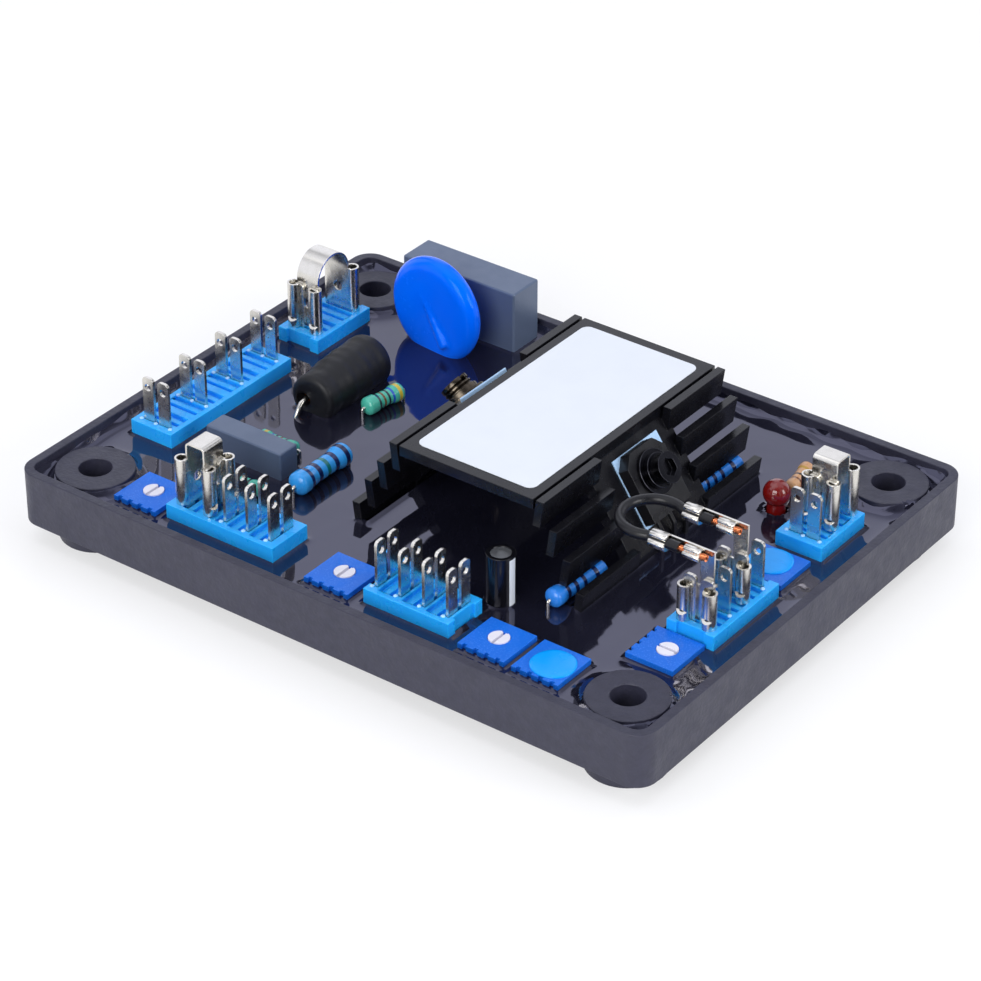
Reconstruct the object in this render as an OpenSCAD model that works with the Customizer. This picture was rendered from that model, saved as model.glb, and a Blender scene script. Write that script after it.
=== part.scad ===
// Potted automatic voltage regulator for a generator: a shallow tray with four
// bolt bosses, a board cast in resin, a finned heatsink arch, push-on terminal
// blocks with bridging links, trimmers and leaded components.
// Origin: centre of the footprint at the bottom of the feet. X runs along the
// long side, Y runs from the trimmer row to the rear, Z is up. Millimetres.

/* [Tray] */
// Length of the tray along X
tray_length = 135; // [132:1:180]
// Depth of the tray along Y
tray_depth = 100; // [98:1:140]
// Height of the tray from its underside to the rim
tray_height = 10.5; // [9.5:0.5:16]
// Thickness of the tray's side walls
tray_wall = 1.8; // [1.4:0.2:2.6]
// Thickness of the tray's floor
tray_floor = 2; // [1.2:0.2:3]
// Outer corner radius of the tray
tray_corner = 4; // [3.5:0.5:8]
// Height of the ribs that carry the board
rib_height = 1.5; // [1:0.1:2]
// Thickness of those ribs
rib_width = 1.6; // [1:0.2:3]
// Distance from a side of the tray to a mounting hole's centre
hole_inset = 10; // [9.5:0.5:12]
// Diameter of a mounting hole
hole_d = 6; // [4:0.5:8]
// Diameter of a mounting boss and of its foot
boss_d = 14.4; // [10:0.2:14.6]
// Depth of a boss top below the rim
boss_drop = 1; // [0:0.2:2]
// Height of a foot below the tray
foot_height = 4; // [1:0.5:8]

/* [Board and resin] */
// Thickness of the circuit board
board_thickness = 1.6; // [1:0.2:2.4]
// Gap between the board's edge and what it lies in
board_gap = 0.3; // [0.1:0.1:1]
// Depth of resin above the board
resin_depth = 2.4; // [1.6:0.1:2.8]

/* [Heatsink] */
// Place of the heatsink's centre, X
heatsink_x = 12; // [8:0.5:15]
// Share of the free depth that lies in front of the heatsink
heatsink_share = 0.37; // [0.3:0.01:0.45]
// Length of the heatsink along Y
heatsink_length = 54.4; // [46:0.2:60]
// Height of the heatsink above the board
heatsink_height = 21.2; // [20:0.2:28]
// Width of the top plate
plate_width = 28.2; // [26:0.2:32]
// Thickness of the top plate
plate_thickness = 2; // [1.4:0.2:3]
// Fins on each side
fin_count = 4; // [4:1:4]
// Thickness of a fin
fin_thickness = 1.6; // [1.2:0.1:2]
// Height of a fin
fin_height = 5.2; // [4.4:0.2:6]
// Slot between the top plate and the first fin
fin_slot = 0.6; // [0.4:0.1:1]
// Sideways step from one fin to the next
fin_step = 2.8; // [2.7:0.1:3]
// Drop from one fin to the next
fin_drop = 4.8; // [4.2:0.1:5]
// How much lower the fin over the foot is than even drops make it
foot_drop = 0.8; // [0:0.1:1]
// Outward lean of a fin
fin_lean = 8; // [4:1:10]
// Width of the pocket in the middle of each fin row
pocket_width = 20.6; // [18:0.2:24]
// Thickness of the sloping leg in the pocket
leg_thickness = 2.4; // [1.8:0.2:3]
// Slope of that leg from level
leg_slope = 55.5; // [54:0.5:57]
// Distance of the leg's top inside the plate's edge
leg_setback = 0.9; // [0.5:0.1:1.5]
// Length of leg that each fin is rooted in
fin_root = 1.6; // [1:0.2:3]
// Length of the label
label_length = 50; // [40:0.5:52]
// Width of the label
label_width = 24.6; // [18:0.2:26]
// Thickness of the label
label_thickness = 0.15; // [0.1:0.05:0.3]
// Corner radius of the label
label_corner = 1.6; // [0.5:0.1:3]

/* [Power devices] */
// Width of a power device
device_width = 11; // [9:0.5:12]
// Length of a power device along the leg
device_length = 12.6; // [11.4:0.2:12.8]
// Thickness of a power device
device_thickness = 2.4; // [2:0.1:3]
// Distance from the leg's top to the device's top
device_drop = 3; // [2.8:0.1:3.4]
// Chamfer of a device's top corners
device_chamfer = 2.2; // [1:0.1:3]
// Distance from the leg's top to the screw
screw_drop = 8.1; // [7.8:0.1:8.4]
// Width of an insulating sheet
sheet_width = 13.2; // [12.2:0.1:15]
// Length of an insulating sheet along the leg
sheet_length = 14.4; // [13.8:0.2:15]
// Thickness of an insulating sheet
sheet_thickness = 0.3; // [0.2:0.05:0.5]
// Distance from the leg's top to the sheet's top
sheet_drop = 1.8; // [1.6:0.1:2.6]
// Diameter of a device screw
screw_d = 3.5; // [3:0.1:4]
// Diameter of its head
screw_head_d = 5.6; // [5.2:0.1:7]
// Height of its head
screw_head_h = 2.2; // [2:0.1:3.6]
// Width across flats of the hexagon socket
socket_width = 3; // [2:0.1:3.4]
// Depth of the socket and of the slot
drive_depth = 1.2; // [0.8:0.1:1.6]
// Width of the slot in the slotted head
slot_width = 1; // [0.6:0.1:1.4]
// Diameter of the flat washer
washer_d = 8.2; // [7.4:0.1:9]
// Thickness of the flat washer
washer_h = 0.7; // [0.5:0.1:1]
// Diameter of the spring washer
spring_d = 6.4; // [6:0.1:7]
// Thickness of the spring washer
spring_h = 1; // [0.7:0.1:1.3]
// Split in the spring washer
spring_split = 0.7; // [0.4:0.1:1]
// Length of screw that stands out behind the leg
screw_tail = 1.4; // [0.6:0.1:2]
// Width of a device's lead
device_lead = 0.8; // [0.6:0.1:1]
// Spacing of a device's leads
device_pitch = 3.6; // [2.5:0.1:4.2]
// Length of lead that follows the slope
lead_slope_run = 2.2; // [2:0.1:2.6]

/* [Terminal blocks] */
// Distance from the tray's front to the front blocks' centre line
front_inset = 12; // [11.5:0.1:12.4]
// Distance from the tray's left side to the left blocks' centre line
left_inset = 10.1; // [9.8:0.1:12]
// Distance from the tray's right side to the right blocks' centre line
right_inset = 11.8; // [11:0.1:13]
// Spacing of the terminal positions
tab_pitch = 5; // [4.8:0.02:5.08]
// Length of a plain block beyond its end positions
block_end = 2; // [1.8:0.1:2.2]
// The same for the rear left block
rear_left_end = 2.9; // [2.4:0.1:3]
// The same for the front middle block
middle_end = 1.5; // [1.4:0.1:2]
// The same for the right block
right_end = 2.4; // [1.8:0.1:2.4]
// Depth of the hollow in a notched block's ends
end_hollow = 0.6; // [0.2:0.1:0.7]
// Width of the posts beside that hollow
end_post = 2; // [1:0.1:2.4]
// Width of a block
block_width = 9.5; // [9.2:0.1:10.2]
// Height of a block above the board
block_height = 5.5; // [4.6:0.1:6.5]
// Width of the rim round a block's top
block_rim = 1.1; // [0.8:0.1:1.3]
// Width of the bar that each tab stands in
block_bar = 1.8; // [1.6:0.1:2.4]
// Depth of the recesses between the bars
recess_depth = 0.9; // [0.4:0.1:1.4]
// Width of the rib in each recess
recess_rib = 1.1; // [0.6:0.1:1.2]
// Height of that rib
recess_rib_h = 0.7; // [0.2:0.1:0.8]

/* [Tabs and links] */
// Width of one tab of a twin
tab_width = 2.5; // [2.2:0.1:2.6]
// Spacing of the two tabs of a twin
twin_pitch = 3.5; // [3.3:0.1:3.6]
// Thickness of the tab metal
tab_thickness = 0.6; // [0.5:0.05:0.8]
// Height of a tab above its block
tab_height = 8.8; // [8:0.1:10]
// Chamfer at a tab's tip
tab_chamfer = 0.8; // [0.4:0.1:1.2]
// Diameter of the hole in a tab
tab_hole_d = 1.4; // [1:0.1:1.6]
// Distance of that hole below the tip
tab_hole_drop = 2; // [1.6:0.1:2.6]
// Thickness of the link metal
link_metal = 0.4; // [0.3:0.05:0.5]
// Outer diameter of a rolled edge
roll_d = 2.6; // [2.3:0.05:2.8]
// Spacing of the two rolled edges
roll_pitch = 5; // [4.9:0.05:5.4]
// Length of a link's rolled edges
roll_length = 9.2; // [7:0.1:10]
// Length of slant at the foot of a rolled edge
roll_slant = 2.6; // [1:0.1:3.5]
// Width of a link's strap
strap_width = 5; // [3.6:0.1:5]
// Height of a square strap above the rolled edges
strap_rise = 3.4; // [2:0.1:6]
// Bend radius of a square strap, inside
strap_bend = 0.5; // [0.3:0.1:1]
// Height of the round strap's straight sides above the rolled edges
round_rise = 0.4; // [0.2:0.1:4]
// Diameter of the window in a link's plates
window_d = 2; // [1:0.1:2.4]
// Height of that window above the block
window_height = 4.9; // [3:0.1:7]
// How far the front link and its tabs stand off their even places
link_shift = 0.8; // [0:0.1:0.9]

/* [Wire link] */
// Diameter of the wire over its insulation
wire_d = 1.9; // [1.6:0.05:2.1]
// Diameter of the strands
strand_d = 1.2; // [0.8:0.05:1.3]
// Length of a wire terminal's rolled edges
flag_length = 6.9; // [5.5:0.1:7.4]
// Height of the wire's axis above the block
wire_height = 13.4; // [12.4:0.1:16]
// Width of a wire terminal's neck
neck_width = 2.6; // [2:0.1:3]
// Length of the conductor crimp
core_crimp = 3.2; // [2.4:0.1:3.6]
// Length of the insulation crimp
jacket_crimp = 3.2; // [2.4:0.1:3.6]
// Length of insulation between the crimps
jacket_show = 2.4; // [1.6:0.1:3.4]
// Length of bare strands between crimp and insulation
strand_show = 1; // [0.6:0.1:1.6]
// Radius of the wire's loop
loop_r = 5.6; // [5.4:0.1:6.2]
// Radius of the splay into the loop
splay_r = 3; // [2:0.1:5]

/* [Trimmers] */
// Distance from the tray's front to the trimmer row's centre line
trimmer_inset = 10.8; // [10.2:0.1:11.4]
// Distance from the tray's right side to the right trimmers' centre line
trimmer_right_inset = 13.2; // [12.4:0.1:13.6]
// Offset of the two right trimmers from each other
trimmer_stagger = 0.6; // [0:0.1:1]
// Side of a trimmer
trimmer_side = 9.5; // [8.6:0.1:9.8]
// Height of a trimmer above the board
trimmer_height = 3.7; // [3.3:0.1:5]
// Diameter of a trimmer's rotor
rotor_d = 3.7; // [3:0.1:5]
// Depth of a rotor in its body
rotor_depth = 2.3; // [1.6:0.1:2.6]
// Height of a free rotor above its body
rotor_rise = 0.15; // [0:0.05:0.4]
// Distance of the rotor from the body's centre
rotor_offset = 0.5; // [0:0.1:1]
// Width of the screwdriver slot
driver_slot = 0.6; // [0.4:0.1:0.9]
// Depth of the screwdriver slot
driver_depth = 0.7; // [0.4:0.1:1]
// Running clearance round a rotor
rotor_clearance = 0.05; // [0.02:0.01:0.1]
// Gap under a rotor
rotor_float = 0.1; // [0.05:0.05:0.3]
// Width of the notches in a trimmer's edge
notch_width = 0.8; // [0.5:0.1:1]
// Depth of those notches
notch_depth = 0.6; // [0.3:0.1:0.9]
// Diameter of a sealing dot
seal_d = 8; // [6:0.1:8]
// Thickness of a sealing dot
seal_h = 0.3; // [0.1:0.05:0.6]

/* [Components] */
// Diameter of the varistor disc
varistor_d = 21; // [15:0.5:22]
// Thickness of the varistor disc
varistor_t = 4; // [2.6:0.2:4.6]
// Turn of the varistor about its leads
varistor_turn = -6; // [-12:1:6]
// Length of the large capacitor
large_cap_length = 26; // [22:0.5:26.5]
// Depth of the large capacitor
large_cap_depth = 7.8; // [6:0.2:8.2]
// Height of the large capacitor above the board
large_cap_height = 15; // [10:0.5:18]
// Length of the small capacitor
small_cap_length = 17.2; // [13:0.2:18]
// Depth of the small capacitor
small_cap_depth = 4.8; // [4:0.2:6]
// Height of the small capacitor above the board
small_cap_height = 8.1; // [6:0.1:11]
// Length of the choke's sleeve
sleeve_length = 18.6; // [17:0.2:20]
// Diameter of the sleeve over the coil
sleeve_d = 10.2; // [9.8:0.1:10.6]
// Diameter of the sleeve's narrow end
sleeve_neck_d = 9.2; // [8.8:0.1:9.8]
// Thickness of the sleeve
sleeve_wall = 0.5; // [0.3:0.05:0.6]
// Height of the choke's axis above the board
choke_rise = 5.4; // [5.4:0.1:7]
// Turn of the choke
choke_turn = 2.4; // [0:0.2:4]
// Diameter of the choke's coil
coil_d = 7.8; // [6.6:0.1:8]
// Length of the choke's coil
coil_length = 14; // [10:0.5:15]
// Diameter of the choke's leads
choke_lead_d = 1; // [0.6:0.1:1.4]
// Length of the power resistor
power_length = 14.6; // [12:0.2:16]
// Diameter of the power resistor
power_d = 4.4; // [3.6:0.1:5]
// Length of the middle-size resistor
middle_length = 9.2; // [7:0.2:10]
// Diameter of the middle-size resistor
middle_d = 3.5; // [2.6:0.1:4]
// Length of a small resistor
small_length = 8.6; // [6.5:0.2:9.4]
// Diameter of a small resistor
small_d = 2.8; // [2.2:0.1:3]
// Length of a resistor beside the fins
fin_length = 13.6; // [12:0.2:13.8]
// Diameter of a resistor beside the fins
fin_d = 3.6; // [2.8:0.1:3.6]
// Diameter of a resistor's leads
lead_d = 0.7; // [0.5:0.05:0.9]
// Length of lead between a resistor and its bend
lead_out = 1.2; // [1:0.1:1.6]
// Bend radius of a resistor's leads
lead_bend = 0.7; // [0.6:0.1:0.9]
// How much thicker a lead is in its bend
lead_swell = 0.06; // [0.04:0.01:0.1]
// Length of straight lead that runs into the bend
lead_lap = 0.1; // [0.06:0.01:0.1]
// Diameter of the electrolytic capacitor
can_d = 5.2; // [4:0.1:5.4]
// Height of the electrolytic capacitor above the board
can_height = 12.2; // [9:0.2:14]
// Thickness of its printed sleeve
can_sleeve = 0.2; // [0.1:0.05:0.4]
// Diameter of the lamp
led_d = 5; // [3:0.1:5.4]
// Height of the lamp above the board
led_height = 8.6; // [6:0.2:10]
// Flange of the lamp, beyond its lens
led_flange = 0.4; // [0.2:0.1:0.6]
// Height of that flange
led_flange_h = 1; // [0.6:0.1:1.4]

/* [Places] */
// Distance from the left blocks' centre line to the small capacitor
small_cap_step = 18.8; // [15:0.2:20]
// The same to the choke
choke_step = 16.9; // [12:0.1:17]
// The same to the varistor
varistor_step = 20.5; // [18:0.1:22]
// The same to the large capacitor
large_cap_step = 20.8; // [19:0.1:22]
// The same to the power resistor
power_step = 32.4; // [32:0.1:34]
// Distance from the small capacitor to the power resistor, along Y
power_lead = 2.7; // [0:0.1:4]
// Distance from the left blocks' centre line to the middle-size resistor
middle_step = 26; // [25:0.1:28]
// Distance from the choke's middle to that resistor, along Y
middle_lead = 0.6; // [0:0.1:2]
// Distance from the left blocks' centre line to the front small green resistor
front_green_step = 23.4; // [20:0.1:24]
// The same to the rear small green resistor
rear_green_step = 20; // [18:0.1:24]
// Distance from the front middle block's centre to the electrolytic capacitor
can_step = 9.1; // [4:0.1:10]
// Distance from that centre to the resistor behind the block
front_res_step = 9.5; // [0:0.1:10]
// Distance from that block's back to the resistor
front_res_gap = 2.7; // [1.8:0.1:3]
// Place of the lamp between heatsink and right blocks, as a share of the room
led_share = 0.59; // [0.55:0.01:0.6]
// Distance from the rear right block's centre to the lamp, along Y
led_step = 2.5; // [0:0.1:3]
// Place of the beige resistor in the same room
beige_share = 0.5; // [0.45:0.01:0.6]
// Distance from the heatsink's centre line to the resistors beside the fins
fin_res_step = 20; // [19.7:0.1:20]
// Distance from the heatsink's middle to those resistors, along Y
fin_res_reach = 20.9; // [20.8:0.1:22]
// How far both lie in front of even places
fin_res_shift = 1.6; // [0:0.1:1.6]
// Turn of those resistors
fin_res_turn = -6; // [-6:1:0]

/* [Fits] */
// Clearance of a push-on or slotted fit, each side
slot_fit = 0.05; // [0.02:0.01:0.08]
// Clearance of a screw in a clearance hole, all round
screw_fit = 0.2; // [0.1:0.05:0.4]
// Gap between the lamp and the lead next to it
lead_gap = 0.6; // [0.4:0.1:1]

/* [Hidden] */

$fn = 48;
// How far a cut runs past the face that it opens
over = 1;

floor_top = foot_height + tray_floor;
board_bottom = floor_top + rib_height;
board_top = board_bottom + board_thickness;
resin_top = board_top + resin_depth;
boss_top = foot_height + tray_height - boss_drop;
hole_x = tray_length / 2 - hole_inset;
hole_y = tray_depth / 2 - hole_inset;
inner_length = tray_length - 2 * tray_wall;
inner_depth = tray_depth - 2 * tray_wall;
inner_corner = tray_corner - tray_wall;
// Places of the ribs, as shares of the inner length
rib_shares = [-0.3, -0.1, 0.1, 0.3];

// Rows of pieces share out the room that their lengths leave, by their gaps
function sum(list, count) = count < 1 ? 0 : list[count - 1] + sum(list, count - 1);
function row_centre(from, to, lengths, gaps, i) =
    let (room = to - from - sum(lengths, len(lengths)))
        from + room * sum(gaps, i + 1) / sum(gaps, len(gaps)) + sum(lengths, i) + lengths[i] / 2;
function block_length(count, end = block_end) = (count - 1) * tab_pitch + 2 * end;

front_y = -tray_depth / 2 + front_inset;
left_x = -tray_length / 2 + left_inset;
right_x = tray_length / 2 - right_inset;
front_back_y = front_y + block_width / 2;
inner_rear_y = tray_depth / 2 - tray_wall;
block_top = board_top + block_height;
boss_edge_x = hole_x - boss_d / 2;
boss_edge_y = hole_y - boss_d / 2;

// Front row: trimmer, block, trimmer, block, two trimmers
front_gaps = [0.55, 1.65, 7.75, 2.45, 2.75, 1.5, 3.95];
front_lengths = [
    trimmer_side, block_length(5), trimmer_side, block_length(4, middle_end), trimmer_side, trimmer_side
];
function front_x(i) = row_centre(-boss_edge_x, boss_edge_x, front_lengths, front_gaps, i);

// Left side: two blocks
left_gaps = [7.6, 7.7, 0.5];
left_lengths = [block_length(7), block_length(3, rear_left_end)];
function left_y(i) = row_centre(-boss_edge_y, boss_edge_y, left_lengths, left_gaps, i);

// Right side: trimmer, block, trimmer, block
right_gaps = [3.3, 0.4, 1.75, 2.05, 5.3];
right_lengths = [trimmer_side, block_length(4, right_end), trimmer_side, block_length(3)];
function right_y(i) = row_centre(-boss_edge_y, boss_edge_y, right_lengths, right_gaps, i);

// Components behind the front left block: a resistor, the small capacitor, a resistor, the choke,
// the varistor and the large capacitor
column_gaps = [4.35, 4.3, 2.2, 9.8, 10.1, 3.1, 1.6];
column_lengths = [
    small_d, small_cap_depth, small_d, sleeve_length + 3 * choke_lead_d,
    varistor_t + varistor_d * abs(sin(varistor_turn)), large_cap_depth
];
function column_y(i) = row_centre(front_back_y, inner_rear_y, column_lengths, column_gaps, i);

// Each block: centre, turn, number of positions, length beyond the end ones, whether its ends are
// notched, and the shift of its first two positions
front_left = [front_x(1), front_y, 0, 5, block_end, false, link_shift];
left = [left_x, left_y(0), 90, 7, block_end, false, 0];
rear_left = [left_x, left_y(1), 90, 3, rear_left_end, true, 0];
front_middle = [front_x(3), front_y, 0, 4, middle_end, true, 0];
right = [right_x, right_y(1), 90, 4, right_end, true, 0];
rear_right = [right_x, right_y(3), 90, 3, block_end, false, 0];
blocks = [front_left, left, rear_left, front_middle, right, rear_right];
twin_width = twin_pitch + tab_width;

trimmer_y = -tray_depth / 2 + trimmer_inset;
trimmer_x = tray_length / 2 - trimmer_right_inset;
// Each trimmer: its centre and its turn
trimmers = [
    [front_x(0), trimmer_y, 0], [front_x(2), trimmer_y, 0], [front_x(4), trimmer_y, 0],
    [front_x(5), trimmer_y, 0], [trimmer_x, right_y(0), -90], [trimmer_x + trimmer_stagger, right_y(2), -90]
];
notch_places = [-3.4, -1.1, 1.1, 3.4];
trimmer_top = board_top + trimmer_height;
// The sealed trimmers, and how far each dot lies off its centre
sealed = [3, 5];
seal_shifts = [[0.7, -0.3], [-0.7, 0.6]];

heatsink_y = front_back_y + heatsink_length / 2
    + heatsink_share * (inner_rear_y - front_back_y - heatsink_length);
foot_outer = plate_width / 2 + fin_slot + fin_thickness + (fin_count - 1) * fin_step;
heatsink_side_x = heatsink_x + foot_outer;
side_room = right_x - block_width / 2 - heatsink_side_x;

small_cap_place = [left_x + small_cap_step, column_y(1)];
choke_place = [left_x + choke_step, column_y(3), choke_turn];
varistor_place = [left_x + varistor_step, column_y(4)];
large_cap_place = [left_x + large_cap_step, column_y(5)];
choke_z = board_top + choke_rise;
can_place = [front_middle[0] + can_step, (front_back_y + heatsink_y - heatsink_length / 2) / 2];
led_place = [heatsink_side_x + led_share * side_room, rear_right[1] + led_step];
// Each resistor: its centre and its turn from Y
power_place = [left_x + power_step, small_cap_place[1] + power_lead, 0];
middle_place = [left_x + middle_step, choke_place[1] + middle_lead, -9];
small_green_places = [
    [left_x + front_green_step, column_y(0), 90], [left_x + rear_green_step, column_y(2), 90]
];
fin_places = [
    for (side = [-1, 1])
        [heatsink_x + fin_res_step, heatsink_y - fin_res_shift + side * fin_res_reach, fin_res_turn]
];
front_place = [front_middle[0] - front_res_step, front_back_y + front_res_gap, 90];
beige_front_y = led_place[1] + led_d / 2 + led_flange + lead_gap;
beige_place = [
    heatsink_side_x + beige_share * side_room, beige_front_y + small_length / 2 + lead_out + lead_d / 2, 10
];

leg_down = [cos(leg_slope), -sin(leg_slope)];
leg_normal = [sin(leg_slope), cos(leg_slope)];
leg_top = [plate_width / 2 - leg_setback, heatsink_height - plate_thickness / 2];
fin_tip = plate_width / 2 + fin_slot + fin_thickness;
foot_top = heatsink_height - (fin_count - 1) * fin_drop - foot_drop;
fin_half_gap = pocket_width / 2;
screw_base = sheet_thickness + device_thickness;
washer_top = screw_base + washer_h;
head_base = washer_top + spring_h;
lead_side = device_lead * 0.7;

wire_axis_x = tab_thickness / 2 + slot_fit - wire_d / 2;
roll_r = roll_d / 2;
// Places along a wire terminal, from the middle of the twin tab outward
core_start = -0.5;
core_end = core_start + core_crimp;
jacket_start = core_end + strand_show;
grip_start = jacket_start + jacket_show;
grip_end = grip_start + jacket_crimp;
strand_start = core_start - 1.1;
loop_half = tab_pitch;
loop_shift = sqrt(pow(loop_r + splay_r, 2) - pow(loop_half + splay_r, 2));
splay_angle = atan2(loop_shift, loop_half + splay_r);
wire_z = block_top + wire_height;
wire_sides = 12;

// Plan of a plate with round corners
module rounded_rect(length, width, radius) {
    square([length - 2 * radius, width], center = true);
    square([length, width - 2 * radius], center = true);
    for (sx = [-1, 1], sy = [-1, 1])
        translate([sx * (length / 2 - radius), sy * (width / 2 - radius)]) circle(radius);
}

module box(length, width, height)
    translate([-length / 2, -width / 2, 0]) cube([length, width, height]);

// Draws an outline in X and Z and runs it along Y
module along_y(from, to)
    translate([0, to, 0]) rotate([90, 0, 0]) linear_extrude(to - from) children();

// Runs a round outline along Y, from its own centre
module round_along_y(from, to)
    translate([0, from, 0]) rotate([-90, 0, 0]) linear_extrude(to - from) children();

module at_holes()
    for (sx = [-1, 1], sy = [-1, 1])
        translate([sx * hole_x, sy * hole_y, 0]) children();

module at(place, height = 0)
    translate([place[0], place[1], height]) rotate(len(place) > 2 ? place[2] : 0) children();

module tray() color("#2c2b30") difference() {
    union() {
        difference() {
            translate([0, 0, foot_height])
                linear_extrude(tray_height) rounded_rect(tray_length, tray_depth, tray_corner);
            translate([0, 0, floor_top])
                linear_extrude(tray_height) rounded_rect(inner_length, inner_depth, inner_corner);
        }
        at_holes() cylinder(h = boss_top, d = boss_d);
        for (share = rib_shares)
            translate([share * inner_length, 0, floor_top - over])
                box(rib_width, inner_depth + tray_wall, rib_height + over);
    }
    at_holes() translate([0, 0, -over]) cylinder(h = boss_top + 2 * over, d = hole_d);
}

module circuit_board() color("#1f5a3a") difference() {
    translate([0, 0, board_bottom]) linear_extrude(board_thickness)
        rounded_rect(inner_length - 2 * board_gap, inner_depth - 2 * board_gap, inner_corner);
    at_holes() translate([0, 0, board_bottom - over])
        cylinder(h = board_thickness + 2 * over, d = boss_d + 2 * board_gap);
    for (sx = [-1, 1], sy = [-1, 1])
        translate([sx * tray_length / 2, sy * tray_depth / 2, board_bottom - over])
            box(2 * hole_inset, 2 * hole_inset, board_thickness + 2 * over);
}

// The resin lies on the board and closes round all that stands in it
module potting_resin() color("#0c0c10") difference() {
    translate([0, 0, board_top]) linear_extrude(resin_depth)
        rounded_rect(inner_length, inner_depth, inner_corner);
    at_holes() cylinder(h = boss_top, d = boss_d);
    for (place = blocks) at(place, board_top) block_body(place);
    for (place = trimmers) at(place, board_top) box(trimmer_side, trimmer_side, trimmer_height);
    at(large_cap_place, board_top) box(large_cap_length, large_cap_depth, large_cap_height);
    at(small_cap_place, board_top) box(small_cap_length, small_cap_depth, small_cap_height);
    at(can_place, board_top) cylinder(h = can_height, d = can_d);
    indicator_lamp();
    varistor_disc();
    varistor_leads();
    at_choke() rotate_extrude() sleeve_outline(0);
    choke_leads();
    resistor_leads(power_place, power_length);
    resistor_leads(middle_place, middle_length);
    for (place = concat(small_green_places, [front_place, beige_place])) resistor_leads(place, small_length);
    for (place = fin_places) resistor_leads(place, fin_length);
    heatsink_feet();
    both_sides() device_leads();
}

// Heatsink
module at_heatsink() translate([heatsink_x, heatsink_y, board_top]) children();

module both_sides() for (side = [0, 1]) at_heatsink() mirror([side, 0, 0]) children();

function fin_top(i) = i == fin_count - 1 ? foot_top : heatsink_height - i * fin_drop;
function fin_base(i) = i == fin_count - 1 ? 0 : fin_top(i) - fin_height;

module fin_outline(i) {
    lean = tan(fin_lean) * (fin_top(i) - fin_base(i));
    tip = fin_tip + i * fin_step;
    polygon([
        [tip - fin_thickness, fin_top(i)], [tip, fin_top(i)],
        [tip - lean, fin_base(i)], [tip - fin_thickness - lean, fin_base(i)]
    ]);
}

// The leg slopes down from the plate and ends in a foot in line with the last fin
module leg_outline() {
    foot_lean = tan(fin_lean) * foot_top;
    knee_x = foot_outer - foot_lean / 2;
    knee = [knee_x, leg_top[1] - (knee_x - leg_top[0]) * tan(leg_slope)];
    polygon([
        leg_top, knee, [foot_outer - foot_lean, 0],
        [foot_outer - foot_lean - leg_thickness, 0],
        knee - leg_thickness * leg_normal, leg_top - leg_thickness * leg_normal
    ]);
}

module heatsink_half() {
    half = heatsink_length / 2;
    leg_half = fin_half_gap + fin_root;
    along_y(-leg_half, leg_half) leg_outline();
    for (i = [0:fin_count - 1]) {
        along_y(-half, -fin_half_gap) fin_outline(i);
        along_y(fin_half_gap, half) fin_outline(i);
    }
}

module heatsink() color("#17171a") difference() {
    union() {
        at_heatsink() translate([0, 0, heatsink_height - plate_thickness])
            box(plate_width, heatsink_length, plate_thickness);
        both_sides() heatsink_half();
    }
    both_sides() on_leg(screw_drop, -leg_thickness - over)
        cylinder(h = leg_thickness + 2 * over, d = screw_d + 2 * slot_fit);
}

// The part of the heatsink that the resin meets
module heatsink_feet() intersection() {
    both_sides() heatsink_half();
    translate([0, 0, board_top - over]) box(tray_length, tray_depth, resin_depth + 2 * over);
}

module label() color("white")
    at_heatsink() translate([0, 0, heatsink_height]) linear_extrude(label_thickness)
        rounded_rect(label_width, label_length, label_corner);

// Power devices: X runs down the leg and Z stands on it
module on_leg(drop, rise) {
    spot = leg_top + drop * leg_down + rise * leg_normal;
    translate([spot[0], 0, spot[1]]) rotate([0, leg_slope, 0]) children();
}

module leg_plate(drop, rise, length, width, thickness, hole) difference() {
    on_leg(drop, rise) translate([0, -width / 2, 0]) cube([length, width, thickness]);
    on_leg(screw_drop, rise - over) cylinder(h = thickness + 2 * over, d = hole);
}

module device_leads() {
    bend = leg_top + (device_drop + device_length + lead_slope_run) * leg_down
        + (sheet_thickness + device_thickness / 2) * leg_normal;
    for (i = [-1:1]) translate([0, i * device_pitch, 0]) {
        on_leg(device_drop + device_length, sheet_thickness + device_thickness / 2)
            translate([0, -device_lead / 2, -lead_side / 2])
                cube([lead_slope_run, device_lead, lead_side]);
        translate([bend[0] - lead_side / 2, -device_lead / 2, 0])
            cube([lead_side, device_lead, bend[1]]);
    }
}

module power_device() {
    difference() {
        leg_plate(device_drop, sheet_thickness, device_length, device_width, device_thickness,
            screw_d + 2 * screw_fit);
        for (side = [-1, 1]) on_leg(device_drop, sheet_thickness - over)
            translate([0, side * device_width / 2, 0]) rotate(45)
                box(sqrt(2) * device_chamfer, sqrt(2) * device_chamfer, device_thickness + 2 * over);
    }
    device_leads();
}

module power_device_right() color("#141416") at_heatsink() power_device();
module power_device_left() color("#141416") at_heatsink() mirror([1, 0, 0]) power_device();

module insulating_sheets() color("#dfe6ee") both_sides()
    leg_plate(sheet_drop, 0, sheet_length, sheet_width, sheet_thickness, screw_d + 2 * screw_fit);

// The shank runs a little way up into the head
module screw_shank() on_leg(screw_drop, -leg_thickness - screw_tail)
    cylinder(h = leg_thickness + screw_tail + head_base + (screw_head_h - drive_depth) / 2, d = screw_d);

module socket_screw() color("#1a1a1c") at_heatsink() {
    screw_shank();
    on_leg(screw_drop, head_base) difference() {
        cylinder(h = screw_head_h, d = screw_head_d);
        translate([0, 0, screw_head_h - drive_depth])
            cylinder(h = drive_depth + over, d = socket_width / cos(30), $fn = 6);
    }
}

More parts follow.
